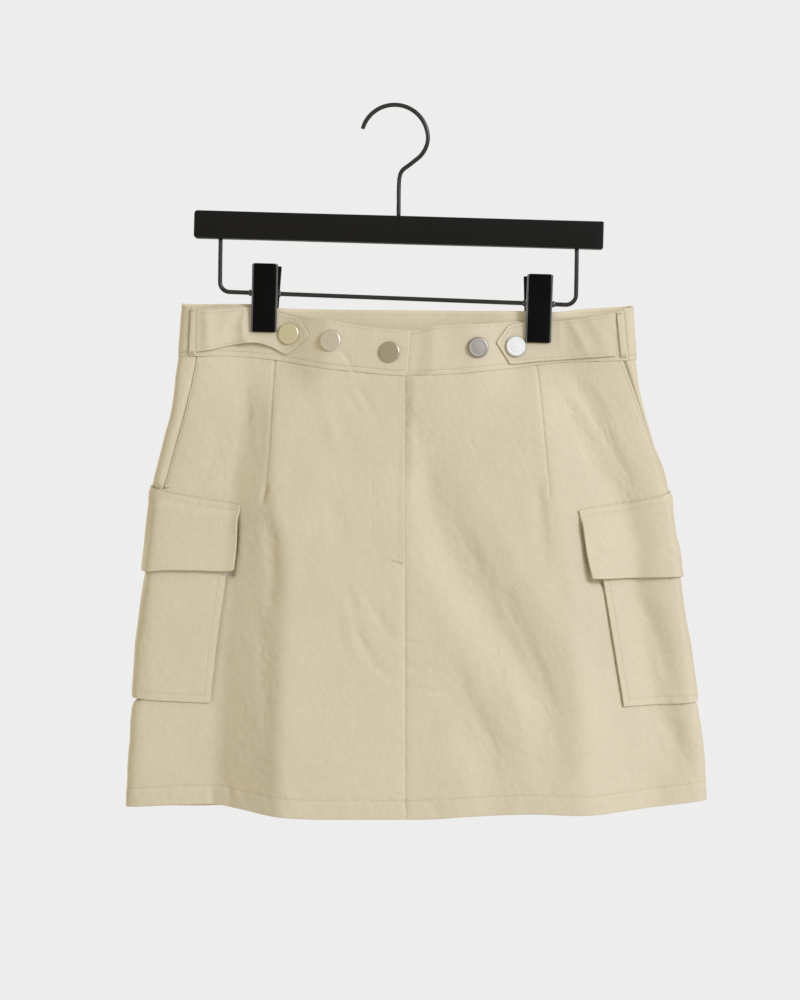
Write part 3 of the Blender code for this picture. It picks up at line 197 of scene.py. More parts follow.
# ------------------------------------------------- looks: creases placed one by one
# Same columns as the folds.  A first number before the rows leans the profile:
# above 0 it falls steeply on the right of the line's direction, below 0 on the left.
CREASES_FRONT = {
    # fine pulls left of the fly
    "fly_pull_one": (0.3, ((-42.0, -226.0, 0.0, 3.0),
                           (-33.0, -236.0, -0.61, 3.2),
                           (-20.0, -250.0, 0.0, 3.0))),
    "fly_pull_two": (0.2, ((-33.0, -212.0, 0.0, 3.0),
                           (-27.0, -228.0, -0.66, 3.4),
                           (-17.0, -246.0, -0.44, 3.2),
                           (-9.0, -262.0, 0.0, 3.0))),
    "fly_pull_three": (0.0, ((-58.0, -226.0, 0.0, 5.0), (-50.0, -256.0, 0.8, 5.5),
                             (-40.0, -292.0, 0.0, 5.0))),
    # long soft creases below the fly
    "low_left_long": (0.3, ((-40.0, -372.0, 0.0, 3.7),
                            (-33.0, -400.0, -1.05, 4.6),
                            (-26.0, -426.0, -1.18, 4.8),
                            (-14.0, -448.0, -0.81, 4.1),
                            (5.0, -458.0, 0.0, 3.4))),
    "low_left_short": (0.3, ((-30.0, -378.0, 0.0, 3.4),
                             (-16.0, -402.0, -0.99, 4.1),
                             (-5.0, -420.0, -0.87, 3.9),
                             (7.0, -430.0, 0.0, 3.4))),
    "low_left_ridge": (0.0, ((-38.0, -392.0, 0.0, 4.6),
                             (-24.0, -418.0, 0.81, 5.8),
                             (-8.0, -440.0, 0.0, 4.6))),
    "low_left_third": (0.2, ((-46.0, -398.0, 0.0, 3.9),
                             (-42.0, -424.0, -0.62, 4.6),
                             (-34.0, -452.0, 0.0, 4.1))),
    "upper_left_one": (0.3, ((-40.0, -234.0, 0.0, 2.8),
                             (-30.0, -244.0, -0.55, 3.2),
                             (-16.0, -255.0, 0.0, 2.8))),
    "upper_left_two": (0.3, ((-31.0, -220.0, 0.0, 2.6),
                             (-25.0, -232.0, -0.55, 3.0),
                             (-15.0, -247.0, 0.0, 2.6))),
    "right_of_fly": (0.2, ((12.0, -234.0, 0.0, 3.0), (17.0, -256.0, -0.9, 3.6),
                           (21.0, -284.0, 0.0, 3.2))),
    "mid_left_fall": (0.0, ((-52.0, -300.0, 0.0, 7.0), (-44.0, -330.0, -0.8, 7.0),
                            (-40.0, -366.0, 0.0, 7.0))),
    # the hollow beside the left slope, and ripples down it
    "slope_ripple_one": (0.2, ((-104.0, -318.0, 0.0, 5.5),
                               (-97.0, -345.0, -1.05, 6.6),
                               (-96.0, -380.0, -0.84, 6.6),
                               (-100.0, -410.0, 0.0, 5.5))),
    "slope_ripple_two": (0.2, ((-112.0, -396.0, 0.0, 5.5),
                               (-104.0, -430.0, -1.05, 6.6),
                               (-103.0, -470.0, -0.91, 6.6),
                               (-98.0, -505.0, 0.0, 5.5))),
    "slope_ripple_three": (-0.2, ((-96.0, -500.0, 0.0, 6.6),
                                  (-90.0, -524.0, 0.7, 7.7),
                                  (-84.0, -556.0, 0.42, 7.7))),
    "hip_streak_one": (0.0, ((-116.0, -214.0, 0.0, 5.0), (-117.0, -248.0, -1.1, 5.5),
                             (-112.0, -300.0, 0.0, 5.0))),
    "hip_streak_two": (0.0, ((-104.0, -222.0, 0.0, 3.6), (-106.0, -258.0, -0.8, 4.0),
                             (-107.0, -300.0, 0.0, 4.0))),
    "hip_streak_three": (0.0, ((-138.0, -240.0, 0.0, 6.0), (-142.0, -275.0, -0.7, 6.5),
                               (-150.0, -304.0, 0.0, 6.0))),
    # beside and below the right dart
    "dart_dimple_right": (-0.2, ((113.0, -292.0, 0.0, 5.0), (115.0, -316.0, -1.7, 6.0),
                                 (118.0, -344.0, -1.5, 5.6), (121.0, -374.0, 0.0, 5.0))),
    "dart_end_left": (0.0, ((-100.8, -301.0, 0.0, 1.3), (-101.6, -306.0, -2.2, 1.6),
                            (-103.4, -312.0, -2.1, 1.7), (-105.4, -319.0, 0.0, 1.6))),
    "dart_end_right": (0.0, ((122.2, -299.0, 0.0, 1.4), (123.2, -307.0, -1.0, 1.6),
                             (124.0, -316.0, 0.0, 1.6))),
    # the diagonal trough: a broad even fall with a shoulder on its right, and
    # its own ripples, uneven in length and depth
    "diagonal_shoulder": (0.0, ((58.0, -292.0, 0.0, 12.0),
                                (70.0, -316.0, 1.54, 14.0),
                                (91.0, -354.0, 2.24, 15.0),
                                (113.0, -394.0, 2.1, 15.0),
                                (137.0, -434.0, 1.68, 14.0),
                                (152.0, -470.0, 0.84, 12.0),
                                (158.0, -500.0, 0.0, 10.0))),
    "diagonal_left_lip": (0.0, ((14.0, -330.0, 0.0, 11.0),
                                (22.0, -360.0, 0.8, 13.2),
                                (40.0, -400.0, 1.12, 13.2),
                                (60.0, -440.0, 0.8, 13.2),
                                (76.0, -468.0, 0.0, 11.0))),
    "diagonal_one": (0.2, ((26.0, -246.0, 0.0, 4.5),
                           (34.0, -272.0, -0.54, 5.5),
                           (42.0, -300.0, -0.59, 6.0),
                           (50.0, -326.0, 0.0, 5.5))),
    "diagonal_two": (0.3, ((42.0, -316.0, 0.0, 4.5),
                           (52.0, -340.0, -0.63, 5.5),
                           (64.0, -362.0, -0.72, 5.8),
                           (72.0, -386.0, 0.0, 5.2))),
    "diagonal_three": (-0.2, ((58.0, -330.0, 0.0, 4.5),
                              (68.0, -346.0, 0.45, 5.2),
                              (80.0, -370.0, 0.54, 5.5),
                              (88.0, -394.0, 0.0, 5.0))),
    "diagonal_four": (0.3, ((80.0, -376.0, 0.0, 4.8),
                            (92.0, -400.0, -0.63, 5.8),
                            (104.0, -424.0, -0.72, 5.8),
                            (116.0, -450.0, -0.41, 5.5),
                            (124.0, -480.0, 0.0, 5.2))),
    "diagonal_five": (0.0, ((70.0, -392.0, 0.0, 4.5),
                            (82.0, -412.0, -0.54, 5.2),
                            (96.0, -436.0, -0.54, 5.5),
                            (104.0, -458.0, 0.0, 5.2))),
    "diagonal_six": (0.3, ((104.0, -414.0, 0.0, 4.5),
                           (118.0, -440.0, 0.54, 5.5),
                           (130.0, -466.0, 0.5, 5.5),
                           (136.0, -494.0, 0.0, 5.2))),
    "diagonal_pull": (0.4, ((60.0, -352.0, 0.0, 2.8),
                            (64.0, -364.0, -0.41, 3.0),
                            (67.0, -378.0, 0.0, 2.8))),
    "island": (0.0, ((92.0, -456.0, 0.8, 8.0), (97.0, -478.0, 1.4, 9.0))),
    "branch_one": (0.2, ((40.0, -428.0, 0.0, 4.6),
                         (54.0, -458.0, -0.78, 5.5),
                         (66.0, -488.0, -0.9, 5.5),
                         (80.0, -510.0, -0.6, 5.1),
                         (104.0, -508.0, 0.0, 5.1))),
    "branch_two": (0.0, ((56.0, -470.0, 0.0, 4.1),
                         (66.0, -496.0, 0.6, 4.8),
                         (72.0, -524.0, 0.0, 4.6))),
    "right_low_one": (0.2, ((124.0, -486.0, 0.0, 4.6),
                            (130.0, -512.0, -0.66, 5.5),
                            (132.0, -540.0, 0.0, 5.1))),
    "right_mid_soft": (0.0, ((128.0, -352.0, 0.0, 6.0), (134.0, -388.0, -0.9, 7.0),
                             (146.0, -420.0, 0.0, 6.0))),
    # short pulls out of the centre-front seam
    "seam_pull_one": (0.0, ((10.0, -396.0, -0.7, 1.9), (24.0, -396.6, 0.0, 1.9))),
    "seam_pull_two": (0.0, ((10.0, -426.0, -0.8, 2.0), (28.0, -428.4, 0.0, 2.0))),
    "seam_pull_three": (0.0, ((10.0, -446.0, -0.6, 1.8), (40.0, -449.0, 0.0, 2.2))),
    "seam_pull_four": (0.0, ((10.0, -462.0, -0.8, 2.0), (52.0, -467.0, 0.0, 2.4))),
    "seam_pull_five": (0.0, ((10.0, -480.8, -0.6, 1.9), (34.0, -482.0, 0.0, 2.0))),
    "seam_pull_six": (0.0, ((6.0, -506.0, -0.6, 2.2), (-34.0, -511.0, 0.0, 2.6))),
    # right side, from the hip down through the pocket to the hem
    "hip_right_one": (0.2, ((134.0, -208.0, 0.0, 4.5), (150.0, -232.0, -1.9, 5.6),
                            (168.0, -262.0, -1.9, 5.8), (184.0, -292.0, -1.4, 5.2),
                            (196.0, -316.0, 0.0, 5.0))),
    "hip_right_two": (0.0, ((150.0, -216.0, 0.0, 4.0), (162.0, -236.0, -0.8, 4.2),
                            (178.0, -258.0, 0.0, 4.0))),
    "hip_right_three": (0.2, ((134.0, -228.0, 0.0, 5.0), (145.0, -252.0, -1.5, 6.0),
                              (156.0, -282.0, -1.6, 6.0), (168.0, -308.0, 0.0, 5.0))),
    "flap_right_fall": (0.2, ((168.0, -326.0, 0.0, 8.0), (177.0, -345.0, -2.2, 9.0),
                              (188.0, -368.0, 0.0, 8.0))),
    "slope_edge": (0.0, ((-101.0, -322.0, 0.0, 4.0), (-99.0, -346.0, -1.0, 5.0),
                         (-98.0, -372.0, -0.9, 5.0), (-98.0, -410.0, 0.0, 5.0))),
    "pocket_right_fall": (0.2, ((190.0, -380.0, 0.0, 7.0), (206.0, -412.0, -2.6, 9.0),
                                (217.0, -440.0, -2.3, 8.0), (223.0, -462.0, -1.3, 7.0),
                                (232.0, -486.0, 0.0, 6.0))),
    "low_right_fall": (0.2, ((206.0, -478.0, 0.0, 6.0), (218.0, -494.0, -1.8, 7.0),
                             (231.0, -514.0, -1.6, 7.0), (238.0, -534.0, 0.0, 6.0))),
    "low_right_soft": (0.0, ((176.0, -500.0, 0.0, 9.0), (186.0, -524.0, -1.0, 10.0),
                             (192.0, -548.0, 0.0, 9.0))),
    # hem nips
    "hem_nip_one": (0.0, ((-145.0, -540.0, 0.0, 1.8), (-144.6, -550.0, -1.1, 1.9),
                          (-144.2, -560.0, -0.8, 2.2))),
    "hem_nip_two": (0.0, ((-131.0, -536.0, 0.0, 1.8), (-130.4, -548.0, -1.0, 2.0),
                          (-130.0, -560.0, -0.9, 2.2))),
    "hem_wave_one": (0.0, ((-40.0, -548.0, 0.0, 6.0), (-38.0, -566.0, 0.9, 7.0))),
    "hem_wave_two": (0.0, ((30.0, -546.0, 0.0, 7.0), (34.0, -566.0, -0.9, 8.0))),
    "hem_wave_three": (0.0, ((92.0, -544.0, 0.0, 6.0), (94.0, -564.0, 1.0, 7.0))),
    "hem_wave_four": (0.0, ((178.0, -542.0, 0.0, 6.0), (180.0, -561.0, -0.9, 7.0))),
}
CREASES_BACK = {
    "back_pull_one": (0.3, ((-60.0, -214.0, 0.0, 4.0), (-66.0, -244.0, -1.2, 4.8),
                            (-72.0, -286.0, 0.0, 4.6))),
    "back_pull_two": (-0.2, ((84.0, -216.0, 0.0, 4.0), (90.0, -250.0, -1.2, 4.8),
                             (98.0, -300.0, 0.0, 4.6))),
    "back_diagonal": (0.3, ((-40.0, -280.0, 0.0, 6.0), (-58.0, -330.0, -2.2, 7.0),
                            (-72.0, -384.0, -2.6, 7.6), (-80.0, -440.0, -1.2, 7.0),
                            (-82.0, -480.0, 0.0, 6.0))),
    "back_diagonal_two": (-0.3, ((58.0, -300.0, 0.0, 6.0), (66.0, -350.0, -2.0, 7.0),
                                 (74.0, -410.0, -2.2, 7.4), (78.0, -470.0, 0.0, 6.0))),
    "back_ripple": (0.0, ((10.0, -380.0, 0.0, 4.6), (4.0, -414.0, -1.3, 5.2),
                          (6.0, -452.0, 0.0, 4.6))),
    "back_ripple_two": (0.2, ((-30.0, -452.0, 0.0, 5.0), (-38.0, -490.0, -1.6, 5.8),
                              (-36.0, -536.0, -0.8, 6.0), (-36.0, -562.0, 0.0, 6.0))),
    "back_ripple_three": (0.0, ((150.0, -380.0, 0.0, 6.0), (158.0, -430.0, -1.8, 7.0),
                                (166.0, -500.0, -1.2, 7.0), (170.0, -556.0, 0.0, 7.0))),
    "back_ripple_four": (0.0, ((-148.0, -470.0, 0.0, 6.0), (-156.0, -520.0, -1.5, 7.0),
                               (-158.0, -560.0, -0.6, 7.0))),
}
BAND_CREASES = {
    "spare_pull": (0.2, ((-43.5, -196.0, -0.5, 2.0), (-38.0, -201.0, -1.1, 2.0),
                         (-33.0, -211.0, -0.4, 1.9))),
    "stitch_nip": (0.0, ((-24.0, -206.0, -0.5, 1.0), (-12.6, -204.8, -0.3, 1.0))),
    "front_pull": (0.0, ((5.0, -195.6, -0.6, 1.3), (10.5, -195.0, -0.2, 1.3))),
    "left_soft": (0.0, ((-60.0, -176.0, -0.6, 6.0), (-63.0, -206.0, -0.4, 6.0))),
    "middle_soft": (0.0, ((-20.0, -180.0, 0.5, 7.0), (-22.0, -208.0, 0.3, 7.0))),
    "right_soft": (0.0, ((44.0, -178.0, -0.6, 8.0), (48.0, -210.0, -0.3, 8.0))),
    "right_soft_two": (0.0, ((58.0, -176.0, 0.3, 5.0), (62.0, -209.0, 0.2, 5.0))),
    "clip_notch": (0.2, ((74.0, -171.5, -1.2, 1.7), (72.0, -178.0, -1.0, 1.8),
                         (69.6, -184.0, -0.3, 1.8))),
}
TAB_CREASES_LEFT = {
    "clip_ridge": (0.0, ((-110.5, -160.0, 1.4, 3.6), (-116.5, -166.0, 2.8, 4.2),
                         (-120.6, -175.0, 3.6, 4.8), (-119.6, -185.0, 3.2, 5.2),
                         (-114.0, -194.0, 1.2, 5.0))),
    "second_ridge": (0.0, ((-122.0, -160.0, 0.5, 3.6), (-131.0, -167.0, 1.0, 4.2),
                           (-138.0, -177.0, 0.9, 4.8), (-141.0, -190.0, 0.4, 5.0))),
    "start_ridge": (0.0, ((-149.2, -163.0, 1.5, 3.6), (-148.6, -180.0, 2.2, 4.0),
                          (-148.4, -196.0, 1.4, 3.8))),
}
TAB_CREASES_RIGHT = {
    "ridge_one": (0.0, ((139.0, -168.0, 0.4, 3.6), (145.5, -179.0, 1.2, 4.2),
                        (151.5, -190.0, 1.2, 4.4), (156.0, -200.0, 0.5, 4.2))),
    "ridge_two": (0.0, ((156.0, -171.0, 0.5, 4.0), (164.0, -181.0, 0.9, 4.4),
                        (169.0, -195.0, 0.5, 4.4))),
    "clip_side": (0.0, ((131.0, -172.0, 0.5, 3.0), (132.0, -190.0, 0.6, 3.4))),
}
# darts: rows of x, z, depth
DARTS = {
    "left": ((-95.2, -203.0, 1.0), (-96.0, -212.0, 1.0), (-98.4, -262.0, 0.9),
             (-101.2, -300.0, 0.8), (-104.0, -317.0, 0.0), (-104.0, -575.0, 0.0)),
    "right": ((114.0, -207.0, 1.0), (117.4, -240.0, 1.0), (121.4, -290.0, 0.9),
              (123.4, -314.0, 0.0), (124.0, -575.0, 0.0)),
    "back_left": ((-78.0, -204.0, 1.0), (-84.0, -262.0, 0.9), (-88.0, -300.0, 0.0),
                  (-88.0, -575.0, 0.0)),
    "back_right": ((100.0, -205.0, 1.0), (106.0, -262.0, 0.9), (110.0, -300.0, 0.0),
                   (110.0, -575.0, 0.0)),
}


# --------------------------------------------------------------- smooth maths
def smooth(rows, x):
    """A smooth curve through (x, y) rows that never overshoots them."""
    pts = np.array(sorted(rows), dtype=float)
    xs, ys = pts[:, 0], pts[:, 1]
    step = np.diff(ys) / np.diff(xs)
    slope = np.zeros_like(ys)
    slope[0], slope[-1] = step[0], step[-1]
    for i in range(1, len(xs) - 1):
        a, b = step[i - 1], step[i]
        slope[i] = 2 * a * b / (a + b) if a * b > 0 else 0.0
    x = np.asarray(x, dtype=float)
    i = np.clip(np.searchsorted(xs, x) - 1, 0, len(xs) - 2)
    h = xs[i + 1] - xs[i]
    t = np.clip((x - xs[i]) / h, 0.0, 1.0)
    t2, t3 = t * t, t * t * t
    return ((2 * t3 - 3 * t2 + 1) * ys[i] + (t3 - 2 * t2 + t) * h * slope[i]
            + (3 * t2 - 2 * t3) * ys[i + 1] + (t3 - t2) * h * slope[i + 1])


def ease(t):
    t = np.clip(t, 0.0, 1.0)
    return t * t * (3 - 2 * t)


def slope_ramp(t):
    """From 0 to 1 at an even slope, with only its two ends rounded."""
    t = np.clip(t, 0.0, 1.0)
    r = RAMP_ROUNDING
    slope = 1 / (1 - r)
    middle = slope * (t - r / 2)
    start, end = slope * t * t / (2 * r), 1 - slope * (1 - t) ** 2 / (2 * r)
    return np.where(t < r, start, np.where(t > 1 - r, end, middle))


def section(name, z):
    k = SECTION_COLUMNS.index(name)
    return smooth([(row[0], row[k]) for row in SECTIONS], z)


def line_height(rows, x, z, lean=0.0):
    """Height at (x, z) of one soft ridge or trough along a line."""
    rows = np.array(rows)
    shape = np.broadcast(x, z).shape
    best = np.full(shape, 1e9)
    height, width, side = np.zeros(shape), np.ones(shape), np.zeros(shape)
    for (x0, z0, h0, w0), (x1, z1, h1, w1) in zip(rows[:-1], rows[1:]):
        dx, dz = x1 - x0, z1 - z0
        t = np.clip(((x - x0) * dx + (z - z0) * dz) / (dx * dx + dz * dz), 0, 1)
        ex, ez = x - x0 - t * dx, z - z0 - t * dz
        d = np.hypot(ex, ez)
        near = d < best
        best = np.where(near, d, best)
        height = np.where(near, h0 + (h1 - h0) * ease(t), height)
        width = np.where(near, w0 + (w1 - w0) * t, width)
        if lean:
            side = np.where(near, np.sign(dx * ez - dz * ex), side)
    if lean:
        width = width * (1 + lean * side)
    return height * np.exp(-(best / width) ** 2)


def fold_height(folds, x, z):
    total = np.zeros(np.broadcast(x, z).shape)
    for rows in folds.values():
        total = total + line_height(rows, x, z)
    return total


def crease_height(creases, x, z):
    total = np.zeros(np.broadcast(x, z).shape)
    for lean, rows in creases.values():
        total = total + line_height(rows, x, z, lean)
    return total


def clip_hold(x, z):
    hold = np.zeros(np.broadcast(x, z).shape)
    down = ease((z - CLIP_FADES_AT) / (CLIP_FLAT_TO - CLIP_FADES_AT))
    for clip in CLIPS.values():
        away = np.abs(x - clip["x"])
        hold = np.maximum(hold, 1 - ease((away - clip["flat"]) / (clip["reach"] - clip["flat"])))
    return hold * down


def face(a, z):
    """Outer face of the tube, an array of points."""
    a, z = np.broadcast_arrays(np.asarray(a, float), np.asarray(z, float))
    q = np.sin(a * math.pi / 2)
    front = np.cos(a * math.pi / 2) >= 0
    left, right = section("left", z), section("right", z)
    x = (left + right) / 2 + (right - left) / 2 * q
    turn = np.sqrt(np.clip(1 - np.abs(q) ** EDGE_POWER, 0, 1))
    side = section("side", z)
    slope_l = slope_ramp((x - section("foot_l", z)) / (section("crest_l", z) - section("foot_l", z)))
    slope_r = slope_ramp((section("foot_r", z) - x) / (section("foot_r", z) - section("crest_r", z)))
    forward = side + (section("front", z) - side) * slope_l * slope_r
    behind = side + (section("back", z) - side) * ease((0.92 - np.abs(q)) / 0.5)
    calm = ease((1 - np.abs(q)) / 0.12)
    forward = forward + fold_height(FRONT_FOLDS, x, z) * calm
    behind = behind + fold_height(BACK_FOLDS, x, z) * calm
    hold = clip_hold(x, z)
    forward = forward + (CLIP_DEPTH - forward) * hold
    behind = behind + (CLIP_DEPTH - behind) * hold
    y = np.where(front, -forward, behind) * turn
    return np.stack((x, y, z), axis=-1)


def form_normal(a, z):
    da, dz = 0.002, 0.5
    along = face(a + da, z) - face(a - da, z)
    up = face(a, z + dz) - face(a, z - dz)
    n = np.cross(along, up)
    return n / np.linalg.norm(n, axis=-1, keepdims=True)


def skin(a, z, out):
    """The tube's face moved out along its normal by out."""
    a, z, out = np.broadcast_arrays(np.asarray(a, float), np.asarray(z, float),
                                    np.asarray(out, float))
    return face(a, z) + form_normal(a, z) * out[..., None]


def a_of_x(x, z):
    left, right = section("left", z), section("right", z)
    q = np.clip((x - (left + right) / 2) / ((right - left) / 2), -1, 1)
    return np.arcsin(q) * 2 / math.pi


def x_of_a(a, z):
    left, right = section("left", z), section("right", z)
    return (left + right) / 2 + (right - left) / 2 * np.sin(np.asarray(a) * math.pi / 2)


def gap_a(a, z, width):
    step = 0.002
    return width * 2 * step / np.linalg.norm(face(a + step, z) - face(a - step, z), axis=-1)


def frontness(a):
    return ease((np.cos(np.asarray(a) * math.pi / 2) + 0.10) / 0.20)


def seam_z(a):
    x = x_of_a(a, -205.0)
    back = smooth(SEAM_BACK, x)
    return back + (smooth(SEAM_FRONT, x) - back) * frontness(a)


def hem_z(a):
    x = x_of_a(a, -560.0)
    back = smooth(HEM_BACK, x)
    return back + (smooth(HEM, x) - back) * frontness(a)


# distance round the tube, mm, used as the cloth's width coordinate
RING_A = np.linspace(-2.3, 3.3, 2801)
_ring = face(RING_A, np.full_like(RING_A, -400.0))
RING_S = np.concatenate(([0.0], np.cumsum(np.linalg.norm(np.diff(_ring, axis=0), axis=-1))))
RING_S -= np.interp(0.0, RING_A, RING_S)


def ring_s(a):
    return np.interp(a, RING_A, RING_S)


def ring_a(s):
    return np.interp(s, RING_S, RING_A)


# ---------------------------------------------------------- seeded cloth noise
def hashed(ix, iy, seed):
    h = (ix.astype(np.int64) * 374761393 + iy.astype(np.int64) * 668265263
         + seed * 974634777) & 0xFFFFFFFF
    h = ((h ^ (h >> 13)) * 1274126177) & 0xFFFFFFFF
    return (h ^ (h >> 16)) / 4294967296.0


def noise(x, y, seed):
    """Smooth gradient noise, about -1 to 1."""
    x, y = np.broadcast_arrays(np.asarray(x, float), np.asarray(y, float))
    ix, iy = np.floor(x), np.floor(y)
    fx, fy = x - ix, y - iy

    def corner(i, j):
        t = hashed(ix + i, iy + j, seed) * 2 * math.pi
        return np.cos(t) * (fx - i) + np.sin(t) * (fy - j)

    u = fx ** 3 * (fx * (fx * 6 - 15) + 10)
    v = fy ** 3 * (fy * (fy * 6 - 15) + 10)
    return 1.5 * ((corner(0, 0) * (1 - u) + corner(1, 0) * u) * (1 - v)
                  + (corner(0, 1) * (1 - u) + corner(1, 1) * u) * v)


def crinkle(s, z, seed=3, strength=1.0):
    """The washed cloth's crinkle: short uneven ridges, most of them upright and
    leaning a little, over soft swells, with a few faint cross lines."""
    ws = s + 6.0 * noise(s / 25.0, z / 33.0, seed + 1)
    wz = z + 8.0 * noise(s / 29.0, z / 24.0, seed + 2)
    patchy = np.clip(0.85 + 0.9 * noise(s / 48.0, z / 60.0, seed + 7), 0.35, 1.6)
    swell = noise(ws / 18.0, wz / 38.0, seed + 3)
    ridge = 0.5 - np.abs(noise((ws + 0.45 * wz) / 6.4, (wz - 0.3 * ws) / 17.0, seed + 4))
    small = noise((ws + 0.3 * wz) / 3.6, wz / 8.0, seed + 5)
    cross = noise(ws / 25.0, wz / 4.6, seed + 6)
    return strength * (0.24 * swell + patchy * (0.26 * ridge + 0.12 * small) + 0.05 * cross)


def side_trim(a, z):
    """How much closer each side's edge lies than the pressed form, in mm."""
    left = ((185.0, 0.0), (205.0, -0.8), (216.0, -1.5), (258.0, -1.7), (272.0, -1.3), (288.0, -1.0),
            (302.0, -1.2), (316.0, 0.0), (470.0, 0.0), (480.0, -2.5),
            (491.0, -2.1), (506.0, 0.0))
    rows = ((230.0, 0.0), (244.0, 0.4), (258.0, 1.5), (270.0, 2.6), (284.0, 0.9), (298.0, 0.8),
            (312.0, 1.7), (326.0, 2.4), (340.0, 1.6), (356.0, 0.0))
    near = np.sin(np.asarray(a) * math.pi / 2)
    return (np.interp(-z, *zip(*rows)) * ease((near - 0.955) / 0.04)
            + np.interp(-z, *zip(*left)) * ease((-near - 0.945) / 0.05))


def side_edge(a):
    """1 at the tube's two side edges, 0 a few millimetres in from them."""
    return ease((np.abs(np.sin(np.asarray(a) * math.pi / 2)) - 0.965) / 0.032)


# --------------------------------------------------------------- panel relief
def dart_line(name, z):
    rows = DARTS[name]
    return np.interp(-z, [-r[1] for r in rows], [r[0] for r in rows])


def dart_cut(name, x, z):
    rows = DARTS[name]
    depth = np.interp(-z, [-r[1] for r in rows], [r[2] for r in rows])
    away = np.abs(x - dart_line(name, z))
    return -depth * (0.75 * np.exp(-(away / 0.8) ** 2) + 0.25 * np.exp(-(away / 4.0) ** 2))


def beside_cargo(x, z):
    """The cloth tucks back right beside the inner edges of pockets and flaps."""
    out = np.zeros(np.broadcast(x, z).shape)
    for row in CARGO.values():
        sign = row["sign"]
        top, low = row["flap_top"][0], row["flap_bottom"][0]
        line = smooth(row["flap_in"], np.clip(z, low, top))
        if sign > 0:
            line = line - 0.6 - 1.8 * ease((-326.0 - z) / 50.0)
        grow = ease((top - 2.0 - z) / 34.0) * ease((z - low + 7.0) / 5.0)
        away = np.maximum(sign * (line - x), 0)
        out = out - (3.2 if sign < 0 else 2.0) * grow * np.exp(-(away / (0.7 + 0.6 * grow)) ** 2)
        line = smooth(row["pocket_in"], z)
        grow = ease((low + 1.0 - z) / 5.0) * ease((z - row["pocket_bottom"][0] + 1.0) / 4.0)
        out = out - 1.3 * grow * np.exp(-((x - line) / 1.5) ** 2)
    return out


def under_cargo(a, z):
    """1 where a cargo pocket or flap lies on the panel."""
    x = x_of_a(a, z)
    out = np.zeros(np.broadcast(a, z).shape)
    for row in CARGO.values():
        edge = smooth(row["flap_in"], np.clip(z, -371.0, -318.4)) if row["sign"] < 0 else \
            smooth(row["flap_in"], np.clip(z, -377.4, -322.6))
        low = smooth(row["pocket_in"], z)
        line = np.where(z > -374.0, edge, low)
        inside = ease((row["sign"] * (x - line) - 1.0) / 5.0)
        high, bottom = (max(row["flap_top"]), min(row["pocket_bottom"]))
        out = np.maximum(out, inside * ease((high - 12.0 - z) / 6.0)
                         * ease((z - bottom - 1.0) / 5.0))
    return out


def panel_out(a, z):
    """Relief of the panels' outer face, mm."""
    x = x_of_a(a, z)
    s = ring_s(a)
    front = frontness(a)
    calm = ease((1 - np.abs(np.sin(a * math.pi / 2))) / 0.02) * 0.6 + 0.4
    creases = (crease_height(CREASES_FRONT, x, z) * front
               + crease_height(CREASES_BACK, x, z) * (1 - front)) * calm
    below = ease((seam_z(a) - z - 1.0) / 14.0)
    relief = creases * below
    covered = under_cargo(a, z)
    quiet = 1 - 0.75 * covered
    relief = relief + beside_cargo(x, z) * front - 3.0 * covered * side_edge(a) \
        - side_trim(a, z)
    in_folds = np.clip(1 + 0.8 * np.clip(-creases, 0, 2), 1, 2.2)
    relief = relief + crinkle(s, z) * quiet * (0.35 + 0.65 * below) * in_folds
    # finer wrinkles gather inside the broad falls
    gather = np.clip(-fold_height(FRONT_FOLDS, x, z) / 4.0, 0, 1) \
        + 0.7 * np.exp(-((x + 106.0) / 16.0) ** 2) * ease((-300.0 - z) / 60.0)
    gather = np.clip(gather, 0, 1) * front * quiet * below
    relief = relief + gather * (
        0.46 * (0.5 - np.abs(noise((s + 0.5 * z) / 4.8, (z - 0.3 * s) / 12.0, 101)))
        + 0.20 * noise(s / 3.6, z / 7.5, 103))
    for name in DARTS:
        on_front = not name.startswith("back")
        relief = relief + dart_cut(name, x, z) * (front if on_front else 1 - front) * (
            z > -330.0)
    # waist seam: a row of small puckers just below the band
    drop = seam_z(a) - z
    relief = relief + 0.34 * noise(s / 5.2, z / 40.0, 41) * np.exp(-(np.maximum(drop, 0) / 5.0) ** 2)
    # hem: stitched down, with puckers between the stitching and the fold
    rise = z - hem_z(a)
    relief = relief - 0.30 * np.exp(-((rise - 15.0) / 1.1) ** 2)
    relief = relief + (0.42 * noise(s / 7.5 + rise * 0.05, z / 60.0, 43)
                       * np.exp(-((rise - 11.0) / 7.0) ** 2))
    relief = relief + 0.25 * ease((14.2 - rise) / 1.5)
    # the fly's two lines of stitching
    fly = front * (z > -366.0)
    relief = relief - 0.12 * np.exp(-((x + 16.4) / 0.9) ** 2) * fly * ease((z + 345.0) / 10.0)
    relief = relief - 0.08 * np.exp(-((x - 4.8) / 0.9) ** 2) * fly
    return relief


# ------------------------------------------------------------------ materials
def nodes_of(name):
    mat = bpy.data.materials.new(name)
    mat.use_nodes = True
    tree = mat.node_tree
    return mat, tree, tree.nodes["Principled BSDF"]


def link(tree, a, out, b, into):
    tree.links.new(a.outputs[out], b.inputs[into])


def add_node(tree, kind, **values):
    node = tree.nodes.new(kind)
    for key, value in values.items():
        if key in node.inputs:
            node.inputs[key].default_value = value
        else:
            setattr(node, key, value)
    return node


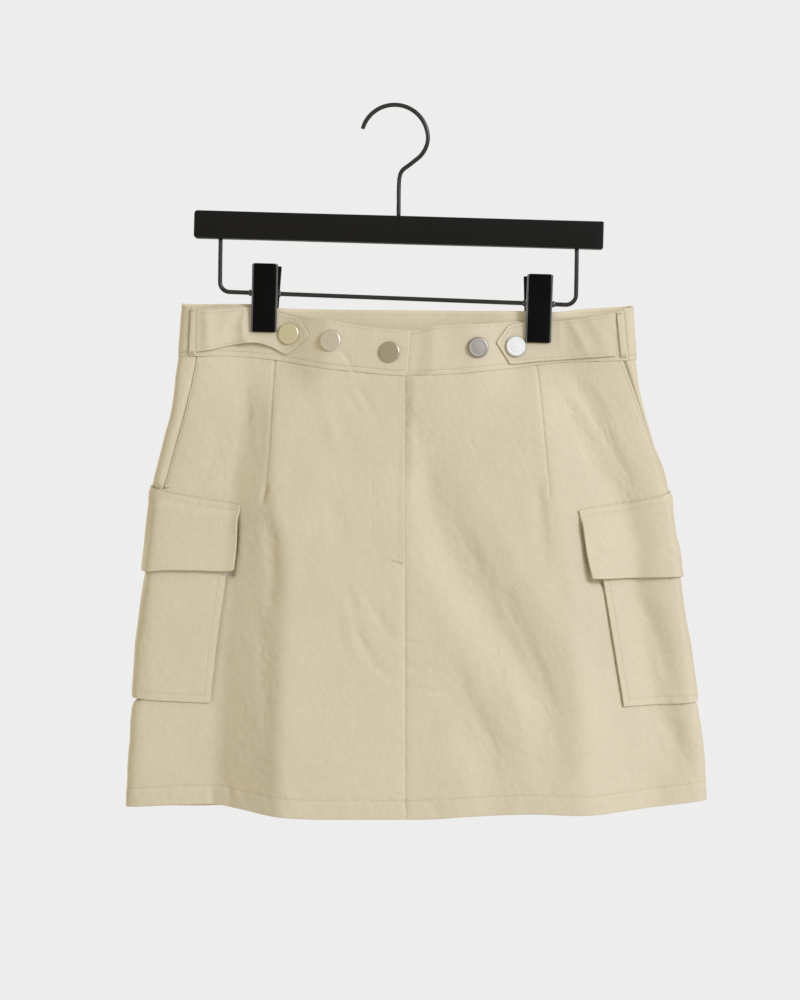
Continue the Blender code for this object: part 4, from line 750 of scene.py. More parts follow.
def noise_node(tree, coords, scale, detail=2.0, roughness=0.5, stretch=None):
    if stretch is not None:
        mapping = tree.nodes.new("ShaderNodeMapping")
        mapping.inputs["Scale"].default_value = stretch
        tree.links.new(coords, mapping.inputs["Vector"])
        coords = mapping.outputs["Vector"]
    node = tree.nodes.new("ShaderNodeTexNoise")
    node.inputs["Scale"].default_value = scale
    node.inputs["Detail"].default_value = detail
    node.inputs["Roughness"].default_value = roughness
    tree.links.new(coords, node.inputs["Vector"])
    return node.outputs["Fac"]


def maths(tree, operation, a, b=None, c=None):
    node = tree.nodes.new("ShaderNodeMath")
    node.operation = operation
    for k, value in enumerate((a, b, c)):
        if value is None:
            continue
        if isinstance(value, (int, float)):
            node.inputs[k].default_value = value
        else:
            tree.links.new(value, node.inputs[k])
    return node.outputs[0]


def ramp(tree, fac, stops):
    node = tree.nodes.new("ShaderNodeValToRGB")
    while len(node.color_ramp.elements) < len(stops):
        node.color_ramp.elements.new(0.5)
    for element, (at, colour) in zip(node.color_ramp.elements, stops):
        element.position = at
        element.color = (*colour, 1.0)
    tree.links.new(fac, node.inputs["Fac"])
    return node.outputs["Color"]


def cloth_material(name, colour, weave=1.0, streaks=1.0):
    """Washed nylon and cotton poplin: a fine plain weave with slubs, crinkled
    by washing, matt with a faint dry sheen."""
    mat, tree, shader = nodes_of(name)
    uv = tree.nodes.new("ShaderNodeUVMap")
    uv.uv_map = "weave"
    grain = uv.outputs["UV"]          # metres round the tube and up it
    threads = tree.nodes.new("ShaderNodeSeparateXYZ")
    tree.links.new(grain, threads.inputs["Vector"])
    # threads 0.36 mm apart both ways, over and under
    warp = maths(tree, "SINE", maths(tree, "MULTIPLY", threads.outputs["X"], 2 * math.pi / 0.00036))
    weft = maths(tree, "SINE", maths(tree, "MULTIPLY", threads.outputs["Y"], 2 * math.pi / 0.00040))
    cross = maths(tree, "MULTIPLY", warp, weft)
    slub_x = noise_node(tree, grain, 1.0, 2.0, 0.5, (1500.0, 260.0, 1.0))
    slub_y = noise_node(tree, grain, 1.0, 2.0, 0.5, (220.0, 1400.0, 1.0))
    streak = noise_node(tree, grain, 1.0, 3.0, 0.55, (300.0, 170.0, 1.0))
    lean = tree.nodes.new("ShaderNodeMapping")
    lean.inputs["Rotation"].default_value = (0.0, 0.0, 0.32)
    lean.inputs["Scale"].default_value = (360.0, 150.0, 1.0)
    tree.links.new(grain, lean.inputs["Vector"])
    streak_two = noise_node(tree, lean.outputs["Vector"], 1.0, 2.0, 0.5)
    patch_fac = noise_node(tree, grain, 1.0, 3.0, 0.6, (16.0, 11.0, 1.0))
    # colour: the base with a slow drift, darker slubs and paler rubbed ridges
    drift = ramp(tree, patch_fac, ((0.25, tuple(c * 0.955 for c in colour)),
                                   (0.75, tuple(min(1.0, c * 1.03) for c in colour))))
    slub = maths(tree, "ADD", maths(tree, "MULTIPLY", slub_x, 0.5),
                 maths(tree, "MULTIPLY", slub_y, 0.5))
    tone = tree.nodes.new("ShaderNodeMix")
    tone.data_type = "RGBA"
    tone.blend_type = "MULTIPLY"
    tree.links.new(drift, tone.inputs["A"])
    tree.links.new(ramp(tree, slub, ((0.32, (0.935, 0.93, 0.915)), (0.60, (1.0, 1.0, 1.0)))),
                   tone.inputs["B"])
    tone.inputs["Factor"].default_value = 0.8
    rubbed = tree.nodes.new("ShaderNodeMix")
    rubbed.data_type = "RGBA"
    rubbed.blend_type = "MULTIPLY"
    tree.links.new(tone.outputs["Result"], rubbed.inputs["A"])
    tree.links.new(ramp(tree, streak, ((0.30, (0.95, 0.945, 0.93)), (0.66, (1.0, 1.0, 1.0)))),
                   rubbed.inputs["B"])
    rubbed.inputs["Factor"].default_value = 0.9
    tree.links.new(rubbed.outputs["Result"], shader.inputs["Base Color"])
    # relief finer than the mesh: crinkle streaks, slubs and threads
    height = maths(tree, "ADD",
                   maths(tree, "MULTIPLY", streak, 0.15 * streaks),
                   maths(tree, "MULTIPLY", streak_two, 0.15 * streaks))
    height = maths(tree, "ADD", height, maths(tree, "MULTIPLY", slub, 0.03 * weave))
    height = maths(tree, "ADD", height, maths(tree, "MULTIPLY", cross, 0.008 * weave))
    bump = tree.nodes.new("ShaderNodeBump")
    bump.inputs["Strength"].default_value = 1.0
    bump.inputs["Distance"].default_value = 0.001
    tree.links.new(height, bump.inputs["Height"])
    tree.links.new(bump.outputs["Normal"], shader.inputs["Normal"])
    rough = tree.nodes.new("ShaderNodeMapRange")
    rough.inputs["From Min"].default_value = 0.3
    rough.inputs["From Max"].default_value = 0.7
    rough.inputs["To Min"].default_value = 0.72
    rough.inputs["To Max"].default_value = 0.86
    tree.links.new(streak, rough.inputs["Value"])
    tree.links.new(rough.outputs["Result"], shader.inputs["Roughness"])
    shader.inputs["Specular IOR Level"].default_value = 0.30
    shader.inputs["Sheen Weight"].default_value = 0.10
    shader.inputs["Sheen Roughness"].default_value = 0.45
    shader.inputs["Sheen Tint"].default_value = (1.0, 0.95, 0.84, 1.0)
    return mat


def plain_material(name, colour, roughness, metallic=0.0, specular=0.5, coat=0.0,
                   grain=0.0, grain_scale=600.0, stretch=(1.0, 1.0, 1.0), vary=0.12,
                   coat_roughness=0.2, rough_vary=0.12):
    """A hard finish whose colour, roughness and relief vary a little."""
    mat, tree, shader = nodes_of(name)
    place = tree.nodes.new("ShaderNodeTexCoord").outputs["Object"]
    fac = noise_node(tree, place, grain_scale, 3.0, 0.55, stretch)
    slow = noise_node(tree, place, 45.0, 2.0, 0.5)
    tree.links.new(ramp(tree, slow, ((0.3, tuple(c * (1 - vary) for c in colour)),
                                     (0.7, tuple(min(1.0, c * (1 + vary)) for c in colour)))),
                   shader.inputs["Base Color"])
    rough = tree.nodes.new("ShaderNodeMapRange")
    rough.inputs["From Min"].default_value = 0.3
    rough.inputs["From Max"].default_value = 0.7
    rough.inputs["To Min"].default_value = max(0.02, roughness * (1 - rough_vary))
    rough.inputs["To Max"].default_value = min(1.0, roughness * (1 + rough_vary))
    tree.links.new(fac, rough.inputs["Value"])
    tree.links.new(rough.outputs["Result"], shader.inputs["Roughness"])
    shader.inputs["Metallic"].default_value = metallic
    shader.inputs["Specular IOR Level"].default_value = specular
    shader.inputs["Coat Weight"].default_value = coat
    shader.inputs["Coat Roughness"].default_value = coat_roughness
    if grain:
        bump = tree.nodes.new("ShaderNodeBump")
        bump.inputs["Strength"].default_value = 1.0
        bump.inputs["Distance"].default_value = grain * MM
        tree.links.new(fac, bump.inputs["Height"])
        tree.links.new(bump.outputs["Normal"], shader.inputs["Normal"])
    return mat


BEIGE = (0.705, 0.624, 0.462)
MAT = {
    "cloth": cloth_material("washed_beige_cloth", BEIGE),
    "cloth_back": cloth_material("washed_beige_inside", tuple(c * 0.97 for c in BEIGE)),
    "band": cloth_material("washed_beige_band", tuple(c * 1.005 for c in BEIGE), 1.0, 0.75),
    # the band's inside: the same cloth painted 1.2 times paler, painted light that lifts the shade on its inner
    # face
    "band_inside": cloth_material("washed_beige_band_inside_painted_light", tuple(c * 1.20 for c in BEIGE),
                                  1.0, 0.75),
    "thread": plain_material("beige_thread", (0.69, 0.608, 0.448), 0.78, specular=0.15,
                             grain=0.05, grain_scale=2600.0),
    "tape": plain_material("zip_tape_weave", (0.62, 0.53, 0.37), 0.8, grain=0.08,
                           grain_scale=1500.0),
    "bar": plain_material("black_hanger_bar", (0.0042, 0.0038, 0.0034), 0.46, specular=0.20,
                          grain=0.02, grain_scale=420.0, stretch=(0.35, 1.0, 1.6)),
    "wire": plain_material("black_wire_enamel", (0.011, 0.011, 0.0115), 0.30, specular=0.55,
                           grain=0.012, grain_scale=900.0),
    "clip": plain_material("black_clip_enamel", (0.0020, 0.0020, 0.0021), 0.42, specular=0.08,
                           grain=0.012, grain_scale=700.0),
    "steel": plain_material("clip_edge_steel", (0.17, 0.175, 0.185), 0.38, metallic=1.0,
                            grain=0.02, grain_scale=900.0, stretch=(1.0, 1.0, 0.12)),
}


def snap_material(name, colour, roughness):
    """Brushed nickel: fine turning marks round the cap."""
    mat, tree, shader = nodes_of(name)
    uv = tree.nodes.new("ShaderNodeUVMap")
    uv.uv_map = "cap"
    brushed = noise_node(tree, uv.outputs["UV"], 1.0, 3.0, 0.6, (260.0, 9.0, 1.0))
    slow = noise_node(tree, uv.outputs["UV"], 1.0, 2.0, 0.5, (5.0, 3.0, 1.0))
    # the colour passed in holds a painted reflection as well as the nickel's own tint
    tree.links.new(ramp(tree, slow, ((0.3, tuple(c * 0.90 for c in colour)),
                                     (0.7, tuple(min(1.0, c * 1.06) for c in colour)))),
                   shader.inputs["Base Color"])
    rough = tree.nodes.new("ShaderNodeMapRange")
    rough.inputs["From Min"].default_value = 0.3
    rough.inputs["From Max"].default_value = 0.7
    rough.inputs["To Min"].default_value = roughness * 0.85
    rough.inputs["To Max"].default_value = roughness * 1.15
    tree.links.new(brushed, rough.inputs["Value"])
    tree.links.new(rough.outputs["Result"], shader.inputs["Roughness"])
    shader.inputs["Metallic"].default_value = 1.0
    bump = tree.nodes.new("ShaderNodeBump")
    bump.inputs["Strength"].default_value = 0.35
    bump.inputs["Distance"].default_value = 0.00001
    tree.links.new(brushed, bump.inputs["Height"])
    tree.links.new(bump.outputs["Normal"], shader.inputs["Normal"])
    return mat


# ---------------------------------------------------------------- mesh writing
def new_object(name, points, faces, mat, uv=None, uv_name="weave", smooth_by=None):
    """A mesh object from points in mm and equal-length faces."""
    mesh = bpy.data.meshes.new(name)
    mesh.from_pydata((np.asarray(points) * MM).tolist(), [], faces)
    mesh.update()
    if uv is not None:
        layer = mesh.uv_layers.new(name=uv_name)
        corner = np.empty(len(mesh.loops), dtype=np.int32)
        mesh.loops.foreach_get("vertex_index", corner)
        layer.data.foreach_set("uv", np.asarray(uv, np.float32)[corner].ravel())
    mesh.materials.append(mat)
    mesh.shade_smooth()
    if smooth_by is not None:
        mesh.set_sharp_from_angle(angle=math.radians(smooth_by))
    ob = bpy.data.objects.new(name, mesh)
    bpy.context.scene.collection.objects.link(ob)
    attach(ob, "root")
    return ob


def grid_faces(rows, cols, start=0, flip=False):
    k = (start + np.arange(rows * cols).reshape(rows, cols))
    quads = np.stack((k[:-1, :-1], k[1:, :-1], k[1:, 1:], k[:-1, 1:]), axis=-1).reshape(-1, 4)
    return quads[:, ::-1] if flip else quads


def edge_distances(points):
    rows, cols = points.shape[:2]
    down = np.linalg.norm(np.diff(points, axis=0), axis=-1)
    across = np.linalg.norm(np.diff(points, axis=1), axis=-1)
    top = np.vstack((np.zeros((1, cols)), np.cumsum(down, axis=0)))
    left = np.hstack((np.zeros((rows, 1)), np.cumsum(across, axis=1)))
    return {"top": top, "bottom": top[-1:] - top, "left": left, "right": left[:, -1:] - left}


SHEETS = {}


def shell(name, a, z, outer, thick, edges, mat="cloth", cad=None, lift=None):
    """A closed thin shell on the form.  edges names how each side ends:
    fold   rounded over, as a turned edge
    seam   dips in to meet its neighbour
    under  thinned, where another piece covers it
    plain  cut square"""
    points = skin(a, z, outer)
    d = edge_distances(points)
    outside, inside = np.array(outer, float), np.array(outer - thick, float)
    thickness = np.broadcast_to(np.asarray(thick, float), outside.shape)
    shut = np.zeros_like(outside)
    for side, kinds in edges.items():
        away = d[side]
        for kind, weight in ([(kinds, 1.0)] if isinstance(kinds, str) else kinds):
            if kind == "fold":
                r = thickness / 2
                t = np.clip(away / r, 0, 1)
                round_in = r * (1 - np.sqrt(np.clip(1 - (1 - t) ** 2, 0, 1))) * 0.80
                shut = np.maximum(shut, round_in * weight)
            elif kind == "seam":
                dip = 0.36 * np.exp(-(away / 1.0) ** 2) + 0.24 * np.exp(-(away / 4.5) ** 2)
                outside, inside = outside - dip * weight, inside - dip * weight
            elif kind == "under":
                shut = np.maximum(shut, thickness * 0.30 * (1 - ease(away / 3.0)) * weight)
    outside, inside = outside - shut, inside + shut
    if lift is not None:
        outside, inside = outside + lift, inside + lift
    normal = form_normal(a, z)
    base = face(a, z)
    out_points = base + normal * outside[..., None]
    in_points = base + normal * inside[..., None]
    rows, cols = a.shape
    n = rows * cols
    quads = [grid_faces(rows, cols), grid_faces(rows, cols, n, True)]
    k = np.arange(n).reshape(rows, cols)
    for line, turn in ((k[0], True), (k[-1], False), (k[:, 0], False), (k[:, -1], True)):
        strip = np.stack((line[:-1], line[:-1] + n, line[1:] + n, line[1:]), axis=-1)
        quads.append(strip[:, ::-1] if turn else strip)
    s = ring_s(a)
    uv = np.stack((s, z), axis=-1).reshape(-1, 2) * MM
    ob = new_object(name, np.concatenate((out_points.reshape(-1, 3), in_points.reshape(-1, 3))),
                    np.concatenate(quads).tolist(), MAT[mat], np.concatenate((uv, uv)))
    if cad:
        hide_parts(cad)
    SHEETS[name] = {"object": ob, "points": out_points, "normal": normal, "d": d, "a": a, "z": z}
    return ob


def spread(length, step, extra=(), fine=(0.22, 0.55, 1.0, 1.7), ends=(True, True)):
    """Positions 0..1 along a length, closer together at its ends and extras."""
    at = list(np.linspace(0, length, max(3, int(round(length / step)) + 1)))
    if ends[0]:
        at += list(fine)
    if ends[1]:
        at += [length - f for f in fine]
    for e in extra:
        at += [e - 1.4, e - 0.7, e, e + 0.7, e + 1.4]
    at = sorted(p for p in at if 0 <= p <= length)
    keep = [0.0]
    for p in at:
        if p - keep[-1] > 0.2:
            keep.append(p)
    if length - keep[-1] < 0.2:
        keep[-1] = length
    else:
        keep.append(length)
    return np.array(keep) / length


def ruled(guides, shares, v, z_top, z_bottom, rounds=8):
    """Grid of (a, z).  guides are lines of a against z; between each pair lie
    columns at the given shares; v gives the rows."""
    count = sum(len(p) - 1 for p in shares) + 1
    z = np.full((len(v), count), -300.0) * 1.0
    a = np.zeros_like(z)
    for _ in range(rounds):
        at = 0
        for k, part in enumerate(shares):
            n = len(part)
            low = guides[k](z[:, at:at + n])
            high = guides[k + 1](z[:, at:at + n])
            a[:, at:at + n] = low + (high - low) * part[None, :]
            at += n - 1
        z = z_top(a) * (1 - v[:, None]) + z_bottom(a) * v[:, None]
    return a, z


def ring_guide(value):
    return lambda z: value + 0 * z


def by_arc(a_near, a_far, z_level, step, extra=(), ends=(True, True), fine=(0.22, 0.55, 1.0, 1.7)):
    """Columns between two ring positions, even in distance round the tube."""
    dense = np.linspace(a_near, a_far, 801)
    p = face(dense, np.full_like(dense, z_level))
    arc = np.concatenate(([0.0], np.cumsum(np.linalg.norm(np.diff(p, axis=0), axis=-1))))
    part = spread(arc[-1], step, extra, ends=ends, fine=fine) * arc[-1]
    return (np.interp(part, arc, dense) - a_near) / (a_far - a_near)


# ------------------------------------------------------------------- stitches
STITCHES = {}


def on_sheet_line(name, edge, offset, start=0.0, stop=1.0):
    """Points and normals along a line at a set distance from a sheet's edge."""
    sheet = SHEETS[name]
    d = sheet["d"][edge]
    p, n = sheet["points"], sheet["normal"]
    if edge in ("left", "right"):
        d, p, n = d.T, p.transpose(1, 0, 2), n.transpose(1, 0, 2)
    if edge in ("bottom", "right"):
        d, p, n = d[::-1], p[::-1], n[::-1]
    pts, nor = [], []
    last = d.shape[1] - 1
    for c in range(d.shape[1]):
        if not start * last <= c <= stop * last:
            continue
        pts.append([np.interp(offset, d[:, c], p[:, c, k]) for k in range(3)])
        nor.append([np.interp(offset, d[:, c], n[:, c, k]) for k in range(3)])
    return np.array(pts), np.array(nor)


def on_form_line(rows, out_of, step=1.5):
    """Points and normals along a line given by x and z rows on the front."""
    rows = np.array(rows, float)
    arc = np.concatenate(([0.0], np.cumsum(np.hypot(*np.diff(rows, axis=0).T))))
    t = np.linspace(0, arc[-1], max(2, int(arc[-1] / step)))
    x, z = np.interp(t, arc, rows[:, 0]), np.interp(t, arc, rows[:, 1])
    a = a_of_x(x, z)
    return skin(a, z, out_of(a, z)), form_normal(a, z)


def stitch(group, line, pitch=2.9, thread=0.21, fill=0.76, sink=0.02, phase=0.0, across=1.0):
    """Adds a row of stitches along a line of points and normals."""
    pts, nor = line
    arc = np.concatenate(([0.0], np.cumsum(np.linalg.norm(np.diff(pts, axis=0), axis=-1))))
    count = int((arc[-1] - phase) / pitch)
    bucket = STITCHES.setdefault(group, [])
    for k in range(count):
        lo = phase + k * pitch
        hi = lo + pitch * fill
        t = np.array([lo, lo + (hi - lo) * 0.16, (lo + hi) / 2, hi - (hi - lo) * 0.16, hi])
        p = np.stack([np.interp(t, arc, pts[:, i]) for i in range(3)], axis=-1)
        n = np.stack([np.interp(t, arc, nor[:, i]) for i in range(3)], axis=-1)
        n /= np.linalg.norm(n, axis=-1, keepdims=True)
        rise = np.array([-0.12, 0.10, 0.17, 0.10, -0.12]) + sink
        bucket.append((p + n * rise[:, None], n, thread * np.array([0.45, 0.95, 1.05, 0.95, 0.45]),
                       across))


def write_stitches():
    """One joined mesh of thread for each group of seams."""
    made = {}
    sides = 6
    angle = 2 * math.pi * np.arange(sides) / sides
    for group, rows in STITCHES.items():
        points, faces = [], []
        for p, n, r, across in rows:
            along = np.gradient(p, axis=0)
            along /= np.linalg.norm(along, axis=-1, keepdims=True)
            side = np.cross(along, n)
            side /= np.linalg.norm(side, axis=-1, keepdims=True)
            up = np.cross(side, along)
            start = len(points)
            for j in range(len(p)):
                for t in angle:
                    points.append(p[j] + side[j] * r[j] * across * math.cos(t)
                                  + up[j] * r[j] * 0.8 * math.sin(t))
            for j in range(len(p) - 1):
                for i in range(sides):
                    m = (i + 1) % sides
                    b = start + j * sides
                    faces.append((b + i, b + m, b + sides + m, b + sides + i))
            faces.append(tuple(start + i for i in reversed(range(sides))))
            b = start + (len(p) - 1) * sides
            faces.append(tuple(b + i for i in range(sides)))
        ob = new_object("stitches_" + group, points, faces, MAT["thread"])
        made[group] = ob
    return made


# ------------------------------------------------------------------ the panels
STEP = 1.7
SEAM_HALF = 0.05     # sewn pieces meet closer than their solids do


def front_panel(name, sign):
    """From the centre front to the slash, and below the slash to the side seam."""
    slash = SLASH_LEFT if sign < 0 else SLASH_RIGHT
    z_cut = slash[-1][0]
    dart = "left" if sign < 0 else "right"
    seam = lambda z: a_of_x(FRONT_SEAM_X + sign * SEAM_HALF, z)
    dart_at = lambda z: a_of_x(dart_line(dart, z), z)
    slash_at = lambda z: a_of_x(smooth(slash, z), z)
    side_at = lambda z: sign * (1 - gap_a(np.full_like(z, sign * 1.0), z, SEAM_HALF))
    # a third line, 26 mm in from the slash, keeps the columns level past its end
    inset_at = lambda z: a_of_x(smooth(slash, np.maximum(z, z_cut)) - sign * 26.0
                                + sign * 0.09 * np.maximum(z_cut - z, 0), z)
    inner = spread(95 if sign < 0 else 110, STEP)
    middle = spread(62 if sign < 0 else 78, STEP, ends=(True, False))
    outer = spread(40, STEP, ends=(True, True))
    upper = spread(104, STEP)
    lower = spread(257, STEP, extra=(257 - 15.0,))
    grids = []
    for edge_at, v, z_top, z_bottom in (
            (slash_at, upper, lambda a: seam_z(a) - SEAM_HALF, lambda a: z_cut + 0 * a),
            (side_at, lower, lambda a: z_cut - 2.6 + 0 * a, hem_z)):
        if sign < 0:
            guides, shares = (edge_at, inset_at, dart_at, seam), (outer, middle, inner)
        else:
            guides, shares = (seam, dart_at, inset_at, edge_at), (inner, middle, outer)
        grids.append(ruled(guides, shares, v, z_top, z_bottom))
    a = np.vstack([g[0] for g in grids])
    z = np.vstack([g[1] for g in grids])
    x = x_of_a(a, z)
    out = panel_out(a, z)
    fly = ease((z + 372.0) / 12.0)
    if sign > 0:
        # below the fly's edge the right front sinks under the left one
        reach = np.interp(-z, (215.0, 270.0, 300.0, 345.0, 372.0), (8.5, 7.0, 5.4, 4.2, 3.6))
        depth = np.interp(-z, (214.0, 220.0, 250.0, 280.0, 305.0, 340.0),
                          (1.1, 2.1, 2.2, 1.4, 0.6, 0.3))
        sunk = depth * (1 - ease((x - FRONT_SEAM_X) / reach)) * fly
        out = out - sunk * (1 + 0.22 * noise(x / 4.0, z / 7.0, 47))
    else:
        out = out + 0.45 * (1 - ease((FRONT_SEAM_X - x) / 7.0)) * fly
    hem_rise = z - hem_z(a)
    thick = WALL + 0.7 * ease((16.6 - hem_rise) / 1.6)
    open_slash = ease((z - z_cut + 1.0) / 1.0)
    # the slash's edge is pressed thin over the side piece
    pressed = (0.40 if sign < 0 else 0.15) * ease((z - z_cut + 1.0) / 3.0) \
        * (1 - ease(np.abs(x - smooth(slash, np.maximum(z, z_cut))) / 13.0))
    out, thick = out - pressed, thick - 0.9 * pressed
    side = [("fold", open_slash), ("seam", 1 - open_slash)]
    if sign < 0:
        edges = {"left": side, "right": [("fold", fly), ("seam", 1.35 * (1 - fly))]}
    else:
        edges = {"left": [("seam", 1.35 * (1 - fly))], "right": side}
    return shell(name, a, z, out, thick, {**edges, "top": "seam", "bottom": "fold"},
                 cad="front_" + dart)


def seam_edges(kind_left, kind_right, top="seam", bottom="fold"):
    return {"left": kind_left, "right": kind_right, "top": top, "bottom": bottom}


def side_piece(name, sign):
    slash = SLASH_LEFT if sign < 0 else SLASH_RIGHT
    low = slash[-1][0] - 7.0
    under = lambda z: a_of_x(smooth(slash, z) - sign * 10.0, z)
    edge = lambda z: sign * (1 - gap_a(np.full_like(z, sign * 1.0), z, SEAM_HALF))
    part = spread(24, 0.9)
    v = spread(104, STEP)
    guides = (edge, under) if sign < 0 else (under, edge)
    a, z = ruled(guides, (part,), v, lambda a: seam_z(a) - SEAM_HALF, lambda a: low + 0 * a)
    # close under the front along the slash, level with the back at the side seam
    beside = ease((np.abs(ring_s(a) - ring_s(under(z))) - 11.0) / 6.0) * ease((z - low - 3.0) / 9.0)
    out = (-WALL - (0.30 if sign < 0 else 0.60) - 0.3 * ease((-296.0 - z) / 10.0) * (1 - beside)
           + (1.2 if sign < 0 else 1.5) * beside
           + 0.35 * np.minimum(0, crinkle(ring_s(a), z, 21)) - side_trim(a, z))
    # a sharp crease where the slash's edge presses into it
    press = np.abs(ring_s(a) - ring_s(a_of_x(smooth(slash, z) + sign * 0.4, z)))
    out = out - (0.3 if sign < 0 else 1.3) * np.exp(-(press / 1.3) ** 2)
    edges = seam_edges("seam", "under") if sign < 0 else seam_edges("under", "seam")
    edges["bottom"] = "under"
    return shell(name, a, z, out, WALL, edges, cad="side_piece_" + ("left" if sign < 0 else "right"))


def back_panel():
    low = lambda z: 1 + gap_a(np.full_like(z, 1.0), z, SEAM_HALF)
    high = lambda z: 3 - gap_a(np.full_like(z, 3.0), z, SEAM_HALF)
    dart_r = lambda z: 2 - a_of_x(dart_line("back_right", z), z)
    dart_l = lambda z: 2 - a_of_x(dart_line("back_left", z), z)
    step = STEP * 1.3
    shares = (by_arc(1.001, 1.6, -400.0, step), spread(198, step), by_arc(2.4, 2.999, -400.0, step))
    v = spread(357, step, extra=(357 - 15.0,))
    a, z = ruled((low, dart_r, dart_l, high), shares, v, lambda a: seam_z(a) - SEAM_HALF, hem_z)
    out = panel_out(a, z)
    thick = WALL + 0.7 * ease((16.6 - (z - hem_z(a))) / 1.6)
    return shell("back_cloth", a, z, out, thick, seam_edges("seam", "seam"), cad="back")


# ------------------------------------------------------------------- waistband
def band_top_roll(a, z, top):
    """The band's folded top edge is a little fuller than its body."""
    return 0.22 * np.exp(-((top - z - 2.0) / 2.2) ** 2)


def band_relief(a, z, top, low):
    x = x_of_a(a, z)
    s = ring_s(a)
    relief = crease_height(BAND_CREASES, x, z) * frontness(a)
    relief = relief + 0.55 * crinkle(s, z, 57)
    relief = relief - 0.26 * np.exp(-((z - low - 4.0) / 0.9) ** 2)
    relief = relief - 0.20 * np.exp(-((top - z - 2.4) / 0.8) ** 2)
    relief = relief + 0.16 * noise(s / 5.0, z / 30.0, 61) * np.exp(-((z - low - 2.0) / 3.0) ** 2)
    return relief


def front_top(x):
    return smooth(BAND_TOP_FRONT, x)


def front_low(x):
    return smooth(SEAM_FRONT, x) + SEAM_HALF


def band_grid(start, end, width):
    part = spread(width, 1.6)
    v = spread(42, 1.5, extra=(38.0, 2.4))
    z = np.full((len(v), len(part)), -185.0)
    for _ in range(6):
        first, last = start(z[:, :1]), end(z[:, -1:])
        x = first + (last - first) * part[None, :]
        z = front_top(x) * (1 - v[:, None]) + front_low(x) * v[:, None]
    return x, a_of_x(x, z), z


def band_front_left_out(x, a, z):
    return BAND_OUT + np.clip(band_relief(a, z, front_top(x), front_low(x)), -1.1, 0.38)


def band_front_left():
    start = lambda z: smooth(BAND_SEAM_LEFT, z) + SEAM_HALF
    end = lambda z: 13.4 + (z + 179.0) * 0.08
    x, a, z = band_grid(start, end, 176)
    out = band_front_left_out(x, a, z)
    # its lapped end stands a little off the band below
    out = out + 0.35 * ease((x - 2.0) / 9.0)
    return shell("waistband_front_left_cloth", a, z, out, BAND_WALL,
                 {"left": "seam", "right": "fold", "top": "fold", "bottom": "seam"}, "band",
                 "waistband_front_left")


def band_front_right():
    start = lambda z: -24.0 + 0 * z
    end = lambda z: smooth(BAND_SEAM_RIGHT, z) - SEAM_HALF
    x, a, z = band_grid(start, end, 208)
    cover = 1 - ease((x - 17.0) / 16.0)
    relief = np.clip(band_relief(a, z, front_top(x), front_low(x)), -1.1, 0.38)
    out = BAND_OUT + relief * (1 - cover) - (BAND_WALL + GAP + 0.25) * cover
    return shell("waistband_front_right_cloth", a, z, out, BAND_WALL,
                 {"left": "fold", "right": "seam", "top": "fold", "bottom": "seam"}, "band",
                 "waistband_front_right")


def back_top(a):
    wrap = ease((np.cos(a * math.pi / 2) + 0.02) / 0.2)
    return smooth(BAND_TOP_BACK, x_of_a(a, -160.0)) - 2.2 * wrap


def band_back():
    start = lambda z: a_of_x(smooth(BAND_SEAM_RIGHT, z) + SEAM_HALF, z)
    end = lambda z: 4 + a_of_x(smooth(BAND_SEAM_LEFT, z) - SEAM_HALF, z)
    a0, a1 = 0.83, 3.17
    part = by_arc(a0, a1, -185.0, 1.9)
    v = spread(42, 1.6, extra=(38.0, 2.4))
    a, z = ruled((start, end), (part,), v, back_top, lambda a: seam_z(a) + SEAM_HALF)
    out = BAND_OUT + np.clip(band_relief(a, z, back_top(a), seam_z(a)), -1.1, 0.38)
    ob = shell("waistband_back_cloth", a, z, out, BAND_WALL,
               {"left": "seam", "right": "seam", "top": "fold", "bottom": "seam"}, "band",
               "waistband_back")
    # its inside gets the cloth painted 1.2 times paler: painted light on the band's shaded inner face
    ob.data.materials.append(MAT["band_inside"])
    quads = (a.shape[0] - 1) * (a.shape[1] - 1)
    index = np.zeros(len(ob.data.polygons), np.int32)
    index[quads:2 * quads] = 1
    ob.data.polygons.foreach_set("material_index", index)
    return ob


def fly_pieces():
    top = lambda a: seam_z(a) - SEAM_HALF - 0.4
    v = spread(148, 2.2)
    a, z = ruled((lambda z: a_of_x(-14.0, z), lambda z: a_of_x(FRONT_SEAM_X - 1.2, z)),
                 (spread(22, 1.4),), v, top, lambda a: -360.0 + 0 * a)
    out = -WALL - GAP - 0.75 + 0.12 * noise(x_of_a(a, z) / 9.0, z / 14.0, 71)
    shell("fly_zip_tape", a, z, out, 0.55, {}, "tape", "fly_zip")
    a, z = ruled((lambda z: a_of_x(-24.0, z), lambda z: a_of_x(15.0, z)), (spread(39, 1.8),), v,
                 top, lambda a: -367.0 + 0 * a)
    out = -WALL - GAP - 0.8 - GAP - 0.75 + 0.25 * np.minimum(0, crinkle(ring_s(a), z, 77))
    shell("fly_underlap_cloth", a, z, out, FLY_WALL,
          {"left": "fold", "right": "fold", "bottom": "fold"}, "cloth", "fly_underlap")


# ----------------------------------------------------------- pockets and flaps
def cargo_height(row, pair):
    inner, edge = pair
    inner_a = abs(float(a_of_x(row["flap_in"][0][1], inner)))

    def at(a):
        share = np.clip((1 - np.abs(np.abs(a) - 1) - inner_a) / (1 - inner_a), 0, 1)
        return inner + (edge - inner) * share ** 0.9
    return at


def cargo_side(row, line):
    near = lambda z: a_of_x(smooth(line, z), z)
    far = lambda z: row["sign"] * 2 - near(z)
    return near, far


def signed_ring(a):
    """Positions round the tube folded so that both faces of a pocket share
    one front coordinate."""
    return 1 - np.abs(np.abs(a) - 1)


